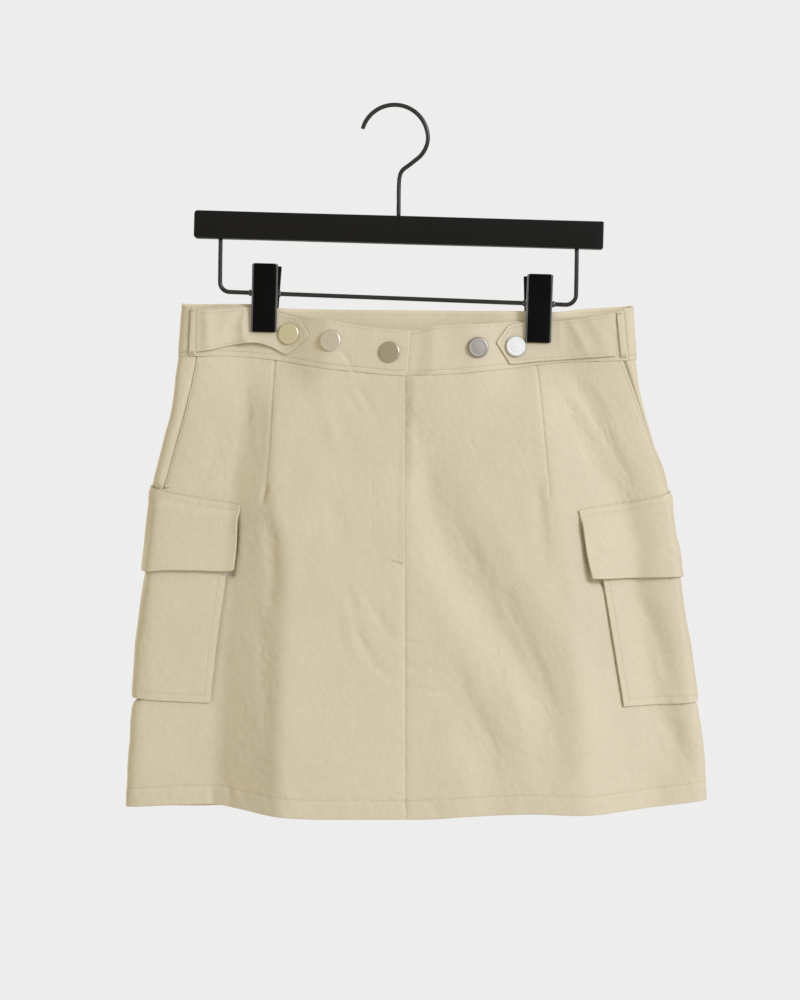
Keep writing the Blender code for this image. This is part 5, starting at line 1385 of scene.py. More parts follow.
def pocket_out(side, a, z):
    row = CARGO[side]
    near, far = cargo_side(row, row["pocket_in"])
    top, low = cargo_height(row, row["pocket_top"]), cargo_height(row, row["pocket_bottom"])
    first = np.abs(near(z))
    u = np.clip((np.abs(a) - first) / (2 - 2 * first), 0, 1)
    v = np.clip((top(a) - z) / (top(a) - low(a)), 0, 1)
    full = 1.6 * np.sin(math.pi * v) ** 0.8 * np.sin(math.pi * u) ** 0.8
    x = x_of_a(a, z)
    s = ring_s(a)
    front = np.abs(a) < 1
    shape = crease_height(CREASES_FRONT, x, z) * 0.8 * front
    if side == "right":
        shape = shape + 0.25 * np.sin((z + 400) / 11.0) * np.exp(-((u - 0.18) / 0.15) ** 2) * front
    # the stitched lines pull the cloth in, and the cloth puffs beside them
    inset = np.abs(s - ring_s(near(z)))
    rise = z - low(a)
    pull = -0.16 * np.exp(-((inset - 5.2) / 0.9) ** 2) - 0.20 * np.exp(-((rise - 6.0) / 0.9) ** 2)
    pucker = 0.22 * noise(z / 5.5, s / 40.0, 83) * np.exp(-((inset - 2.6) / 2.6) ** 2) \
        + 0.22 * noise(s / 5.5, z / 40.0, 84) * np.exp(-((rise - 3.0) / 3.0) ** 2)
    edge_quiet = ease(np.minimum(inset, rise) / 6.0)
    edge = side_edge(a)
    return (POCKET_WALL + 0.6 - side_sink(side, z) * edge + full * (1 - edge) + (shape * edge_quiet) + pull + pucker
            + 0.85 * crinkle(s, z, 31 if side == "left" else 35) * (0.4 + 0.6 * edge_quiet))


def side_sink(side, z):
    """How far the pocket's folded side stays in, by height; it bellies out low down."""
    rows = (((370.0, 2.9), (385.0, 1.3), (395.0, 0.5), (406.0, -0.3), (418.0, -1.1), (430.0, -2.0),
             (442.0, -1.7), (454.0, -1.8), (466.0, -1.8), (478.0, -0.3), (492.0, 0.8))
            if side == "left" else
            ((395.0, 2.9), (412.0, 2.1), (430.0, 0.7), (450.0, 0.5), (466.0, 0.6), (482.0, 2.9)))
    return smooth(rows, -z)


def flap_fall(side, a, z):
    row = CARGO[side]
    return cargo_height(row, row["flap_top"])(a) - z


def flap_out(side, a, z):
    row = CARGO[side]
    near, far = cargo_side(row, row["flap_in"])
    fall = flap_fall(side, a, z)
    s = ring_s(a)
    x = x_of_a(a, z)
    inset = np.abs(s - ring_s(near(z)))
    lift = ease((fall - 4.0) / 9.0)
    hang = ease((fall - 25.0) / 45.0)
    front = np.abs(a) < 1
    shape = crease_height(CREASES_FRONT, x, z) * 0.5 * lift * front
    sag = 0.55 * np.sin(s / 17.0 + (0.8 if side == "left" else 2.2)) * hang
    curl = 1.5 * np.exp(-((inset - 0.0) / 9.0) ** 2) * hang
    pull = -0.24 * np.exp(-((fall - 5.4) / 0.9) ** 2)
    pucker = 0.25 * noise(s / 5.0, z / 40.0, 91) * np.exp(-((fall - 4.0) / 3.4) ** 2)
    edge = side_edge(a)
    if side == "left":
        sink = 3.0 - 1.3 * ease((-338.0 - z) / 28.0)
    else:
        sink = 3.0 + 1.7 * ease((-312.0 - z) / 6.0) * ease((z + 354.0) / 12.0)
    return (FLAP_WALL + 0.6 - sink * edge + (POCKET_WALL + GAP + 1.0 - 0.7 * edge) * lift
            + (2.1 * hang + sag * 0.6) * (1 - edge) + shape
            + curl + pull + pucker
            + 0.8 * crinkle(s, z, 37 if side == "left" else 39) * (0.35 + 0.65 * lift))


def cargo(side):
    row = CARGO[side]
    sign = row["sign"]
    near, far = cargo_side(row, row["pocket_in"])
    mid = float(abs(a_of_x(smooth(row["pocket_in"], -430.0), -430.0)))
    part = by_arc(mid, 2 - mid, -430.0, 1.5, extra=(5.2,))
    v = spread(150, 1.6, extra=(150 - 6.0,))
    a, z = ruled((near, far), (part,), v, cargo_height(row, row["pocket_top"]),
                 cargo_height(row, row["pocket_bottom"]))
    under = panel_out(a, z)
    out = np.maximum(pocket_out(side, a, z), under + POCKET_WALL + 0.4)
    if sign < 0:
        a, z, out = a[:, ::-1], z[:, ::-1], out[:, ::-1]
    inner, outer = ("right", "left") if sign < 0 else ("left", "right")
    shell("pocket_" + side + "_cloth", a, z, out, POCKET_WALL,
          {inner: [("fold", 0.55)], outer: "fold", "bottom": "fold", "top": "plain"}, "cloth",
          "cargo_pocket_" + side)

    # the free flap swings a little past its line as it leaves the panel
    swing = (lambda z: 1.4 + 2.4 * ease((-318.0 - z) / 50.0)) if sign < 0 else \
        (lambda z: -1.0 - 3.2 * ease((-322.0 - z) / 50.0))
    near = lambda z: a_of_x(smooth(row["flap_in"], z) + swing(z), z)
    far = lambda z: sign * 2 - near(z)
    mid = float(abs(near(np.float64(-345.0))))
    part = by_arc(mid, 2 - mid, -345.0, 1.5)
    v = spread(62, 1.5, extra=(5.4,))
    flat_low = cargo_height(row, row["flap_bottom"])
    s_near, s_far = float(ring_s(near(-345.0))), float(ring_s(far(-345.0)))
    half = abs(s_far - s_near) / 2

    def free_edge(at):
        """The lower edge: a slight belly near the side and rounded corners."""
        inset = half - np.abs(np.abs(ring_s(at) - s_near) - half)
        belly = 1.3 * np.exp(-((inset - 72.0) / 9.0) ** 2) * (sign < 0) \
            - 0.5 * np.exp(-((inset - 34.0) / 16.0) ** 2) + 0.4 * np.sin(inset / 13.0)
        corner = 2.6 * (1 - np.sqrt(np.clip(1 - (1 - np.clip(inset / 3.2, 0, 1)) ** 2, 0, 1)))
        return flat_low(at) - belly + corner

    a, z = ruled((near, far), (part,), v, cargo_height(row, row["flap_top"]), free_edge)
    out = flap_out(side, a, z)
    below = np.maximum(panel_out(a, z), (0.0 if sign < 0 else -3.0) * side_edge(a))
    out = np.maximum(out, below + FLAP_WALL + 0.4)
    # its top fold is pressed flat at the side
    flat = 1.1 * side_edge(a) * (1 - ease(flap_fall(side, a, z) / 7.0))
    out, flap_thick = out - flat, FLAP_WALL - flat
    if sign < 0:
        a, z, out, flap_thick = a[:, ::-1], z[:, ::-1], out[:, ::-1], flap_thick[:, ::-1]
    inner, outer = ("right", "left") if sign < 0 else ("left", "right")
    shell("flap_" + side + "_cloth", a, z, out, flap_thick,
          {inner: [("fold", 0.45)], outer: "fold", "bottom": "fold", "top": "fold"}, "cloth",
          "pocket_flap_" + side)


# ---------------------------------------------------------------- tabs, loops
def tab_out(side, x, a, z):
    seat = BAND_OUT + GAP + 0.15 + TRIM_WALL
    s = ring_s(a)
    if side == "left":
        seat = seat + 3.0 * ease((-180.5 - z) / 9.0) * np.exp(-((x + 113.0) / 15.0) ** 2)
        relief = crease_height(TAB_CREASES_LEFT, x, z)
    else:
        relief = crease_height(TAB_CREASES_RIGHT, x, z)
    # held flat under the clip
    clip = CLIPS[side]
    free = ease((np.abs(x - clip["x"]) - 12.0) / 6.0)
    free = np.maximum(free, ease((clip["z"] - 27.5 - z) / 4.0))
    start = TABS[side]["top"][0][0] if side == "left" else TABS[side]["top"][-1][0]
    seat = seat - 0.45 * np.exp(-((x - start) / 3.0) ** 2)
    return seat + np.maximum(relief + 0.45 * crinkle(s, z, 93), -0.1) * free + 0.0 * a


def tab(side):
    row = TABS[side]
    first, last = row["top"][0][0], row["top"][-1][0]
    part = spread(abs(last - first), 1.3)
    first -= math.copysign(0.3, last - first)
    xs = first + (last - first) * part
    if side == "right":
        corners = (92.2, 90.4)
    else:
        corners = (-76.0, -84.8)
    xs = np.array(sorted(set(xs.tolist() + list(corners))))
    top = smooth(row["top"], xs) if False else np.interp(xs, *zip(*row["top"]))
    low = np.interp(xs, *zip(*row["bottom"]))
    body = (xs < -86) if side == "left" else (xs > 94)
    top = np.where(body, smooth(row["top"], xs), top)
    low = np.where(body, smooth(row["bottom"], xs), low)
    v = spread(34, 1.3)
    z = top[None, :] * (1 - v[:, None]) + low[None, :] * v[:, None]
    x = np.tile(xs, (len(v), 1))
    a = a_of_x(x, z)
    out = tab_out(side, x, a, z)
    band = band_front_left_out(x, a, z) if side == "left" else \
        BAND_OUT + np.clip(band_relief(a, z, front_top(x), front_low(x)), -1.1, 0.38)
    # the lower edge lies on the band, or just over the cloth below the seam
    out = np.maximum(out, band + TRIM_WALL + 0.25)
    shell("waist_tab_" + side + "_cloth", a, z, out, TRIM_WALL,
          {"left": "fold", "right": "fold", "top": "fold", "bottom": "fold"}, "band",
          "waist_tab_" + side)


def loop(side):
    row = LOOPS[side]
    v = spread(36, 1.3)
    u = spread(5, 0.8, fine=(0.2, 0.5))
    z = row["z"][0] * (1 - v[:, None]) + row["z"][1] * v[:, None] + 0 * u[None, :]
    left = row["x_top"][0] * (1 - v) + row["x_bottom"][0] * v
    right = row["x_top"][1] * (1 - v) + row["x_bottom"][1] * v
    x = left[:, None] * (1 - u[None, :]) + right[:, None] * u[None, :]
    a = a_of_x(x, z)
    out = BAND_OUT + TRIM_WALL + 0.1 + 0.15 * np.sin(math.pi * u)[None, :] \
        + 0.15 * noise(x / 8.0, z / 9.0, 97)
    by_tab, free = (("right", "left") if side == "left" else ("left", "right"))
    shell("waist_loop_" + side + "_cloth", a, z, out, TRIM_WALL - 0.1,
          {by_tab: [("fold", 0.35)], free: "fold", "top": "fold", "bottom": "fold"}, "band",
          "waist_loop_" + side)


# -------------------------------------------------------------------- hardware
def lean_matrix(at, degrees_y=HANGER_TILT, twist_about=None, twist=0.0):
    """Places a part of the hanger, in mm."""
    m = Matrix.Translation(Vector(at)) @ Matrix.Rotation(math.radians(degrees_y), 4, "Y")
    if twist:
        pivot = Matrix.Translation(Vector(twist_about))
        m = m @ pivot @ Matrix.Rotation(math.radians(twist), 4, "Y") @ pivot.inverted()
    return m


def from_bmesh(name, bm, mat, cads, matrix=None, smooth_by=35):
    """Writes a bmesh given in mm; the place goes into the mesh."""
    if matrix is not None:
        bmesh.ops.transform(bm, matrix=matrix, verts=bm.verts)
    bmesh.ops.scale(bm, vec=(MM, MM, MM), verts=bm.verts)
    bmesh.ops.recalc_face_normals(bm, faces=bm.faces)
    mesh = bpy.data.meshes.new(name)
    bm.to_mesh(mesh)
    bm.free()
    mesh.materials.append(MAT[mat])
    mesh.shade_smooth()
    mesh.set_sharp_from_angle(angle=math.radians(smooth_by))
    ob = bpy.data.objects.new(name, mesh)
    bpy.context.scene.collection.objects.link(ob)
    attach(ob, "root")
    if cads:
        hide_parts(*cads)
    return ob


def dense_curve(points, step=1.0):
    """A smooth curve through points (Catmull-Rom), at about even steps."""
    p = np.array(points, float)
    ext = np.vstack((2 * p[0] - p[1], p, 2 * p[-1] - p[-2]))
    out = [p[0]]
    for k in range(1, len(ext) - 2):
        p0, p1, p2, p3 = ext[k - 1], ext[k], ext[k + 1], ext[k + 2]
        n = max(1, int(round(np.linalg.norm(p2 - p1) / step)))
        for t in np.linspace(0, 1, n + 1)[1:]:
            out.append(0.5 * ((2 * p1) + (-p0 + p2) * t + (2 * p0 - 5 * p1 + 4 * p2 - p3) * t ** 2
                              + (-p0 + 3 * p1 - 3 * p2 + p3) * t ** 3))
    return np.array(out)


def wire(name, points, cads, sides=20, round_ends=(True, True)):
    """A round wire in the hanger's plane, its ends rounded over."""
    line = dense_curve([(x, z) for x, z in points])
    along = np.gradient(line, axis=0)
    along /= np.linalg.norm(along, axis=-1, keepdims=True)
    stations = []
    for k, end in ((0, -1), (len(line) - 1, 1)):
        caps = []
        if round_ends[0 if k == 0 else 1]:
            for back, r in ((0.0, 0.35), (0.12, 0.72), (0.35, 0.92), (0.75, 1.0)):
                caps.append((line[k] - end * along[k] * back, along[k], r))
        stations.append(caps)
    rings = stations[0] + [(line[k], along[k], 1.0) for k in range(1, len(line) - 1)]
    rings += stations[1][::-1] if stations[1] else [(line[-1], along[-1], 1.0)]
    if not stations[0]:
        rings = [(line[0], along[0], 1.0)] + rings
    points3, faces = [], []
    for (x, z), (tx, tz), r in rings:
        for i in range(sides):
            t = 2 * math.pi * i / sides
            c, s = math.cos(t) * r * WIRE_R, math.sin(t) * r * WIRE_R
            points3.append((x - tz * c, s, z + tx * c))
    for j in range(len(rings) - 1):
        for i in range(sides):
            m = (i + 1) % sides
            b = j * sides
            faces.append((b + i, b + m, b + sides + m, b + sides + i))
    faces.append(tuple(reversed(range(sides))))
    b = (len(rings) - 1) * sides
    faces.append(tuple(b + i for i in range(sides)))
    ob = new_object(name, points3, faces, MAT["wire"], smooth_by=50)
    bm = bmesh.new()
    bm.from_mesh(ob.data)
    bmesh.ops.recalc_face_normals(bm, faces=bm.faces)
    bm.to_mesh(ob.data)
    bm.free()
    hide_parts(*cads)
    return ob


def hook_route():
    centre_x, centre_z, radius = 0.4, -24.9, 26.65
    pts = []
    for k in range(31):
        deg = 164.0 - 7.0 * k
        r = radius - 2.3 * max(0.0, -deg / 46.0) ** 1.5
        pts.append((centre_x + r * math.cos(math.radians(deg)),
                    centre_z + r * math.sin(math.radians(deg))))
    return pts + [(11.6, -46.9), (8.2, -49.3), (5.7, -52.2), (4.4, -56.0), (3.9, -61.0),
                  (3.7, -70.0), (3.6, -87.1)]


def rail_route():
    bend = 8.0
    left_x, right_x, low_l, low_r = -139.2, 145.6, -148.0, -158.2
    rail = []
    for k in range(10):
        t = math.radians(180 + 10 * k)
        rail.append((left_x + bend + bend * math.cos(t), low_l + bend + bend * math.sin(t)))
    x0, z0 = rail[-1]
    for k in range(10):
        t = math.radians(270 + 10 * k)
        rail.append((right_x - bend + bend * math.cos(t), low_r + bend + bend * math.sin(t)))
    return ([(-138.72, -105.2), (-139.0, -120.0)] + rail + [(145.9, -135.0), (146.18, -113.3)])


def bar():
    bm = bmesh.new()
    bmesh.ops.create_cube(bm, size=1.0)
    bmesh.ops.scale(bm, vec=BAR_SIZE, verts=bm.verts)
    for left, width, segments in ((True, 2.6, 5), (False, 1.1, 3)):
        edges = [e for e in bm.edges
                 if abs(e.verts[0].co.y - e.verts[1].co.y) > 5 and (e.verts[0].co.x < 0) == left
                 and abs(e.verts[0].co.x - e.verts[1].co.x) < 1e-4]
        bmesh.ops.bevel(bm, geom=edges, offset=width, segments=segments, profile=0.5,
                        affect="EDGES")
    rim = [e for e in bm.edges
           if abs(e.verts[0].co.y - e.verts[1].co.y) < 1e-4 and len(e.link_faces) == 2
           and e.calc_face_angle(0) > 1.0]
    bmesh.ops.bevel(bm, geom=rim, offset=0.9, segments=4, profile=0.5, affect="EDGES")
    # cut lengths along the bar so that its faces can bow a hair, as painted wood does
    for x in range(-150, 151, 25):
        bmesh.ops.bisect_plane(bm, geom=bm.verts[:] + bm.edges[:] + bm.faces[:],
                               plane_co=(x, 0, 0), plane_no=(1, 0, 0))
    for v in bm.verts:
        v.co.z -= 0.10 * math.sin(v.co.x / 60.0) ** 2 * (1 if v.co.z > 0 else -1)
    from_bmesh("hanger_bar_painted", bm, "bar", ("hanger_bar",),
               lean_matrix(BAR_AT), 40)


JAW_FRONT_OUT = ((-13.5, 26.2), (-12.6, 22.6), (-10.9, 12.0), (-9.0, 3.4), (-8.5, -2.0),
                 (-8.3, -8.0), (-7.6, -18.0), (-7.0, -27.7))
JAW_FRONT_IN = ((-5.1, -28.1), (-4.9, -18.0), (-4.85, -6.0), (-5.3, 3.0), (-7.9, 15.0),
                (-11.0, 26.7))
JAW_BACK_OUT = ((5.2, -26.6), (6.4, -12.0), (8.0, -5.0), (8.4, 3.0), (10.4, 14.0), (12.5, 26.0))
JAW_BACK_IN = ((9.7, 26.6), (7.0, 14.0), (5.0, 3.0), (4.6, -5.0), (3.0, -12.0), (3.0, -26.6))


def plate(bm, outline, x0, x1):
    """A plate between two x, with its (y, z) outline."""
    ends = [[bm.verts.new((x, y, z)) for y, z in outline] for x in (x0, x1)]
    n = len(outline)
    bm.faces.new(ends[0])
    bm.faces.new(ends[1][::-1])
    for k in range(n):
        m = (k + 1) % n
        bm.faces.new((ends[0][k], ends[1][k], ends[1][m], ends[0][m]))


def soften(bm, width, segments=2, angle=0.6):
    bmesh.ops.recalc_face_normals(bm, faces=bm.faces)
    edges = [e for e in bm.edges if len(e.link_faces) == 2 and e.calc_face_angle(0) > angle]
    bmesh.ops.bevel(bm, geom=edges, offset=width, segments=segments, profile=0.5,
                    affect="EDGES", clamp_overlap=True)


def resample(outline, step=1.6):
    p = np.array(outline, float)
    arc = np.concatenate(([0.0], np.cumsum(np.linalg.norm(np.diff(p, axis=0), axis=-1))))
    n = max(2, int(arc[-1] / step))
    t = np.linspace(0, arc[-1], n)
    return [(float(smooth(list(zip(arc, p[:, 0])), v)), float(smooth(list(zip(arc, p[:, 1])), v)))
            for v in t]


def clip(side):
    row = CLIPS[side]
    at = (row["x"], 0.0, row["z"])
    toward = 1 if side == "left" else -1
    place = lean_matrix(at)
    # the enamelled face plate
    face_w = 8.75
    bm = bmesh.new()
    plate(bm, resample(JAW_FRONT_OUT) + resample(JAW_FRONT_IN), -face_w, face_w)
    soften(bm, 0.45, 3)
    from_bmesh("clip_" + side + "_face", bm, "clip",
               ("clip_" + side + "_front",), place, 30)
    # bare steel flanges folded back at both sides, with ears at the pivot
    bm = bmesh.new()
    for sign in (-1, 1):
        outer = [(y + 0.55, z * 0.985) for y, z in resample(JAW_FRONT_OUT)]
        inner = [(y + 0.3 + 2.6 * math.exp(-(z / 7.0) ** 2), z * 0.985)
                 for y, z in resample(JAW_FRONT_IN)]
        lo, hi = sorted((sign * (face_w + 0.12), sign * 10.3))
        plate(bm, outer + inner, lo, hi)
    soften(bm, 0.28, 2)
    from_bmesh("clip_" + side + "_flanges", bm, "steel", (), place, 30)
    # the back plate has turned a little on its spring
    bm = bmesh.new()
    plate(bm, resample(JAW_BACK_OUT) + resample(JAW_BACK_IN), -10.3, 10.3)
    soften(bm, 0.45, 3)
    from_bmesh("clip_" + side + "_back_plate", bm, "clip",
               ("clip_" + side + "_back",),
               lean_matrix(at, HANGER_TILT, (0, 0, -24.0), toward * 2.4), 30)
    # spring and its bushings round the rail
    rail_left, rail_right = (-131.2, -148.0), (137.6, -158.2)
    slope = math.atan2(rail_left[1] - rail_right[1], rail_right[0] - rail_left[0])
    rail_z = rail_left[1] - (row["x"] - rail_left[0]) * math.tan(slope)
    profile = [(-12.6, 2.05), (-12.6, 2.45), (-12.3, 2.6), (-11.5, 2.6), (-11.2, 2.35),
               (-10.7, 2.35), (-10.5, 3.2)]
    for k in range(81):
        x = -10.0 + 20.0 * k / 80
        profile.append((x, 3.2 + 0.30 * math.sin(x * 2 * math.pi / 1.25)))
    profile += [(10.5, 3.2), (10.7, 2.35), (11.2, 2.35), (11.5, 2.6), (12.3, 2.6), (12.6, 2.45),
                (12.6, 2.05)]
    seg = 28
    bm = bmesh.new()
    rings = [[bm.verts.new((x, r * math.cos(2 * math.pi * i / seg),
                            r * math.sin(2 * math.pi * i / seg))) for i in range(seg)]
             for x, r in profile]
    for one, two in zip(rings, rings[1:] + rings[:1]):
        for i in range(seg):
            m = (i + 1) % seg
            bm.faces.new((one[i], one[m], two[m], two[i]))
    from_bmesh("clip_" + side + "_spring", bm, "steel",
               ("clip_" + side + "_sleeve",), lean_matrix((row["x"], 0.0, rail_z),
                                                         math.degrees(slope)), 50)


SNAP_PROFILE = ((0.0, 0.0), (7.5, 0.0), (8.1, 0.15), (SNAP_R, 0.5), (SNAP_R, 0.90), (8.2, 1.22),
                (7.95, 1.48), (7.6, 1.66), (7.2, 1.74), (6.8, 1.73), (6.3, 1.70), (5.6, 1.70),
                (4.6, 1.72), (3.4, 1.745), (2.2, 1.765), (1.0, 1.778), (0.0, 1.78))
# Each cap's colour is the nickel's own tint plus a painted reflection: tab_right near white as if catching the key
# light, tab_left yellow and snap_front brown as if mirroring the cloth, spare_right darker.
SNAPS = {
    "snap_tab_left": (-83.9, -181.6, ON_TAB, (0.85, 0.79, 0.555), 0.36),
    "snap_spare_left": (-50.6, -187.7, ON_BAND, (0.79, 0.72, 0.62), 0.38),
    "snap_front": (-3.7, -196.8, ON_BAND, (0.51, 0.455, 0.34), 0.34),
    "snap_spare_right": (66.6, -193.2, ON_BAND, (0.345, 0.315, 0.28), 0.36),
    "snap_tab_right": (96.8, -192.0, ON_TAB, (0.67, 0.655, 0.625), 0.60),
}


def snap(name, x, z, seat, colour, roughness):
    spread_ = np.linspace(-1, 1, 9) * (SNAP_R + 0.6)
    dx, dz = (g.ravel() for g in np.meshgrid(spread_, spread_))
    inside = np.hypot(dx, dz) <= SNAP_R + 0.8
    dx, dz = dx[inside], dz[inside]
    points = skin(a_of_x(x + dx, z + dz), z + dz, seat)
    slope_x, slope_z, level = np.linalg.lstsq(np.stack((dx, dz, np.ones_like(dx)), axis=1),
                                              points[:, 1], rcond=None)[0]
    normal = np.array((slope_x, -1.0, slope_z)) / math.sqrt(slope_x ** 2 + slope_z ** 2 + 1)
    at = np.array((x, level, z))
    at = at + normal * max(0.0, float(np.max((points - at) @ normal)))
    turn = Vector(normal).to_track_quat("Z", "Y").to_matrix()
    seg = 72
    verts, uv, faces = [], [], []
    for r, h in SNAP_PROFILE:
        for i in range(seg if r else 1):
            t = 2 * math.pi * i / seg
            p = turn @ Vector((r * math.cos(t), r * math.sin(t), h))
            verts.append(tuple(at + np.array(p)))
            uv.append((r / SNAP_R, 0.5 + 0.5 * math.sin(t)))
    start = 0
    for k in range(len(SNAP_PROFILE) - 1):
        lo = 1 if SNAP_PROFILE[k][0] == 0 else seg
        hi = 1 if SNAP_PROFILE[k + 1][0] == 0 else seg
        nxt = start + lo
        for i in range(seg):
            m = (i + 1) % seg
            if lo == 1:
                faces.append((start, nxt + m, nxt + i))
            elif hi == 1:
                faces.append((start + i, start + m, nxt))
            else:
                faces.append((start + i, start + m, nxt + m, nxt + i))
        start = nxt
    MAT[name] = snap_material("brushed_nickel_painted_reflection_" + name, colour, roughness)
    ob = new_object(name + "_cap", verts, faces, MAT[name], uv, "cap", 60)
    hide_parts(name)
    return ob


# --------------------------------------------------------------------- stitches
def ring_line(a0, a1, z_of_a, out_of, step=1.5, hidden=None):
    """Runs of points and normals along a level line of the tube."""
    s = np.arange(ring_s(a0), ring_s(a1), step)
    a = ring_a(s)
    z = z_of_a(a)
    p, n = skin(a, z, out_of(a, z)), form_normal(a, z)
    shown = np.ones(len(a), bool) if hidden is None else ~hidden(a, z)
    runs, k = [], 0
    while k < len(a):
        if shown[k]:
            m = k
            while m < len(a) and shown[m]:
                m += 1
            if m - k > 3:
                runs.append((p[k:m], n[k:m]))
            k = m
        else:
            k += 1
    return runs


def offset_path(rows, distance):
    """The path moved sideways (to the right of its direction) with sharp joins."""
    p = np.array(rows, float)
    d = np.diff(p, axis=0)
    d /= np.linalg.norm(d, axis=-1, keepdims=True)
    n = np.stack((d[:, 1], -d[:, 0]), axis=-1)
    out = [p[0] + n[0] * distance]
    for k in range(1, len(p) - 1):
        bend = 1 + float(n[k - 1] @ n[k])
        out.append(p[k] + (n[k - 1] + n[k]) * distance / max(bend, 0.35))
    out.append(p[-1] + n[-1] * distance)
    return out


def tab_face(side, x, z):
    a = a_of_x(x, z)
    out = tab_out(side, x, a, z)
    band = BAND_OUT + np.clip(band_relief(a, z, front_top(x), front_low(x)), -1.1, 0.38)
    return np.maximum(out, band + TRIM_WALL + 0.25)


def under_tab(a, z):
    x = x_of_a(a, z)
    out = np.zeros(np.shape(x), bool)
    for side, row in TABS.items():
        top = np.interp(x, *zip(*row["top"]))
        low = np.interp(x, *zip(*row["bottom"]))
        first, last = row["top"][0][0], row["top"][-1][0]
        out |= (x > first - 0.8) & (x < last + 0.8) & (z < top + 0.8) & (z > low - 0.8)
    for row in LOOPS.values():
        mid = (row["x_bottom"][0] + row["x_bottom"][1]) / 2
        out |= (np.abs(x - mid) < 3.6) & (z > row["z"][1] - 0.6)
    return out & (np.cos(a * math.pi / 2) > 0)


def band_face(a, z):
    top = np.where(np.cos(a * math.pi / 2) > 0.02, front_top(x_of_a(a, z)), back_top(a))
    return BAND_OUT + np.clip(band_relief(a, z, top, seam_z(a) + GAP / 2), -1.1, 0.38)


def sew():
    hem_line = lambda a: hem_z(a) + 15.0
    for group, a0, a1 in (("front_left", -0.993, 0.036), ("front_right", 0.044, 0.993),
                          ("back", 1.007, 2.993)):
        for run in ring_line(a0, a1, hem_line, panel_out):
            stitch(group, run)
    # waistband: above the seam and just under its top edge
    left_end = float(a_of_x(11.6, -208.0))
    right_start = float(a_of_x(16.0, -208.0))
    seam_left = float(a_of_x(-162.0, -196.0))
    seam_right = float(a_of_x(185.0, -196.0))
    low_line = lambda a: seam_z(a) + 4.2
    top_front = lambda a: front_top(x_of_a(a, -165.0)) - 2.4
    top_back = lambda a: back_top(a) - 2.4
    for group, a0, a1, upper in (
            ("band_left", seam_left, left_end, top_front),
            ("band_right", right_start, seam_right, top_front),
            ("band_back", seam_right + 0.012, 4 + seam_left - 0.012, top_back)):
        for z_of in (low_line, upper):
            for run in ring_line(a0, a1, z_of, band_face, 1.2, under_tab):
                stitch(group, run)
    # fly: edge stitching, the curved stay stitching and its bartack
    fly_out = lambda a, z: panel_out(a, z) + 0.45 * (1 - ease((FRONT_SEAM_X - x_of_a(a, z)) / 7.0))
    stitch("front_left", on_form_line([(4.8, -217.5), (4.8, -362.0)], fly_out), sink=-0.10)
    stay = [(-16.4, -216.5), (-16.4, -338.0), (-15.6, -345.5), (-13.2, -352.0), (-9.4, -357.2),
            (-4.8, -360.6), (-1.6, -361.8)]
    stitch("front_left", on_form_line(dense_curve(stay, 2.0), fly_out), sink=-0.07)
    for k in range(2):
        stitch("front_left", on_form_line([(-2.0, -361.2 - 0.6 * k), (7.4, -364.4 - 0.6 * k)],
                                          fly_out, 0.6), pitch=1.1, thread=0.30, fill=0.9)
    # the bartack at the slash's lower end
    stitch("front_left", on_form_line([(-189.2, -301.4), (-187.8, -304.2), (-186.6, -301.2),
                                       (-185.2, -304.4), (-184.0, -301.6)], panel_out, 0.5),
           pitch=1.2, thread=0.26, fill=0.92, sink=0.1)
    # slash edges
    for group, rows, sign in (("front_left", SLASH_LEFT, -1), ("front_right", SLASH_RIGHT, 1)):
        zs = np.linspace(rows[0][0] - 5.0, rows[-1][0] + 1.0, 60)
        path = [(float(smooth(rows, z)) - sign * 2.0, z) for z in zs]
        stitch(group, on_form_line(path, panel_out), sink=-0.09)
    # tabs: one line round the edge, and loops' ends
    for side, row in TABS.items():
        first, last = row["top"][0][0], row["top"][-1][0]
        xs = np.arange(first + 3, last - 3, 3.0)
        upper = [(x, float(np.interp(x, *zip(*row["top"])))) for x in xs]
        lower = [(x, float(np.interp(x, *zip(*row["bottom"])))) for x in xs]
        if side == "left":
            point = [(-76.0, -168.2), (-67.6, -181.8), (-67.6, -183.8), (-84.8, -198.6)]
            upper = [r for r in upper if r[0] < -78]
            lower = [r for r in lower if r[0] < -87]
            path = upper + point + lower[::-1]
            path = offset_path(path, 2.5)
        else:
            point = [(90.4, -175.4), (81.7, -187.8), (81.7, -189.8), (92.2, -206.6)]
            upper = [r for r in upper if r[0] > 92.5]
            lower = [r for r in lower if r[0] > 94.5]
            path = upper[::-1] + point + lower
            path = offset_path(path, -2.5)
        face_of = lambda a, z, side=side: tab_face(side, x_of_a(a, z), z)
        stitch("tab_" + side, on_form_line(path, face_of, 0.8), pitch=2.6)
    loop_out = lambda a, z: 0 * a + BAND_OUT + GAP + 0.1 + TRIM_WALL + 0.2 + 0.1
    for side, row in LOOPS.items():
        for z, x0, x1 in ((row["z"][1] + 1.4, *row["x_bottom"]), (row["z"][0] - 1.6, *row["x_top"])):
            for k in range(2):
                stitch("loop_" + side, on_form_line([(x0 + 0.5, z + 0.5 * k), (x1 - 0.5, z + 0.5 * k)],
                                                    loop_out, 0.4), pitch=1.0, thread=0.24, fill=0.92)
    # flaps and pockets, on both faces
    for side in ("left", "right"):
        stitch("flap_" + side, on_sheet_line("flap_" + side + "_cloth", "top", 5.4, 0.02, 0.98))
        name = "pocket_" + side + "_cloth"
        stitch("pocket_" + side, on_sheet_line(name, "bottom", 6.0, 0.06, 0.94))
        for edge in ("left", "right"):
            stitch("pocket_" + side, on_sheet_line(name, edge, 5.2, 0.30, 0.955))


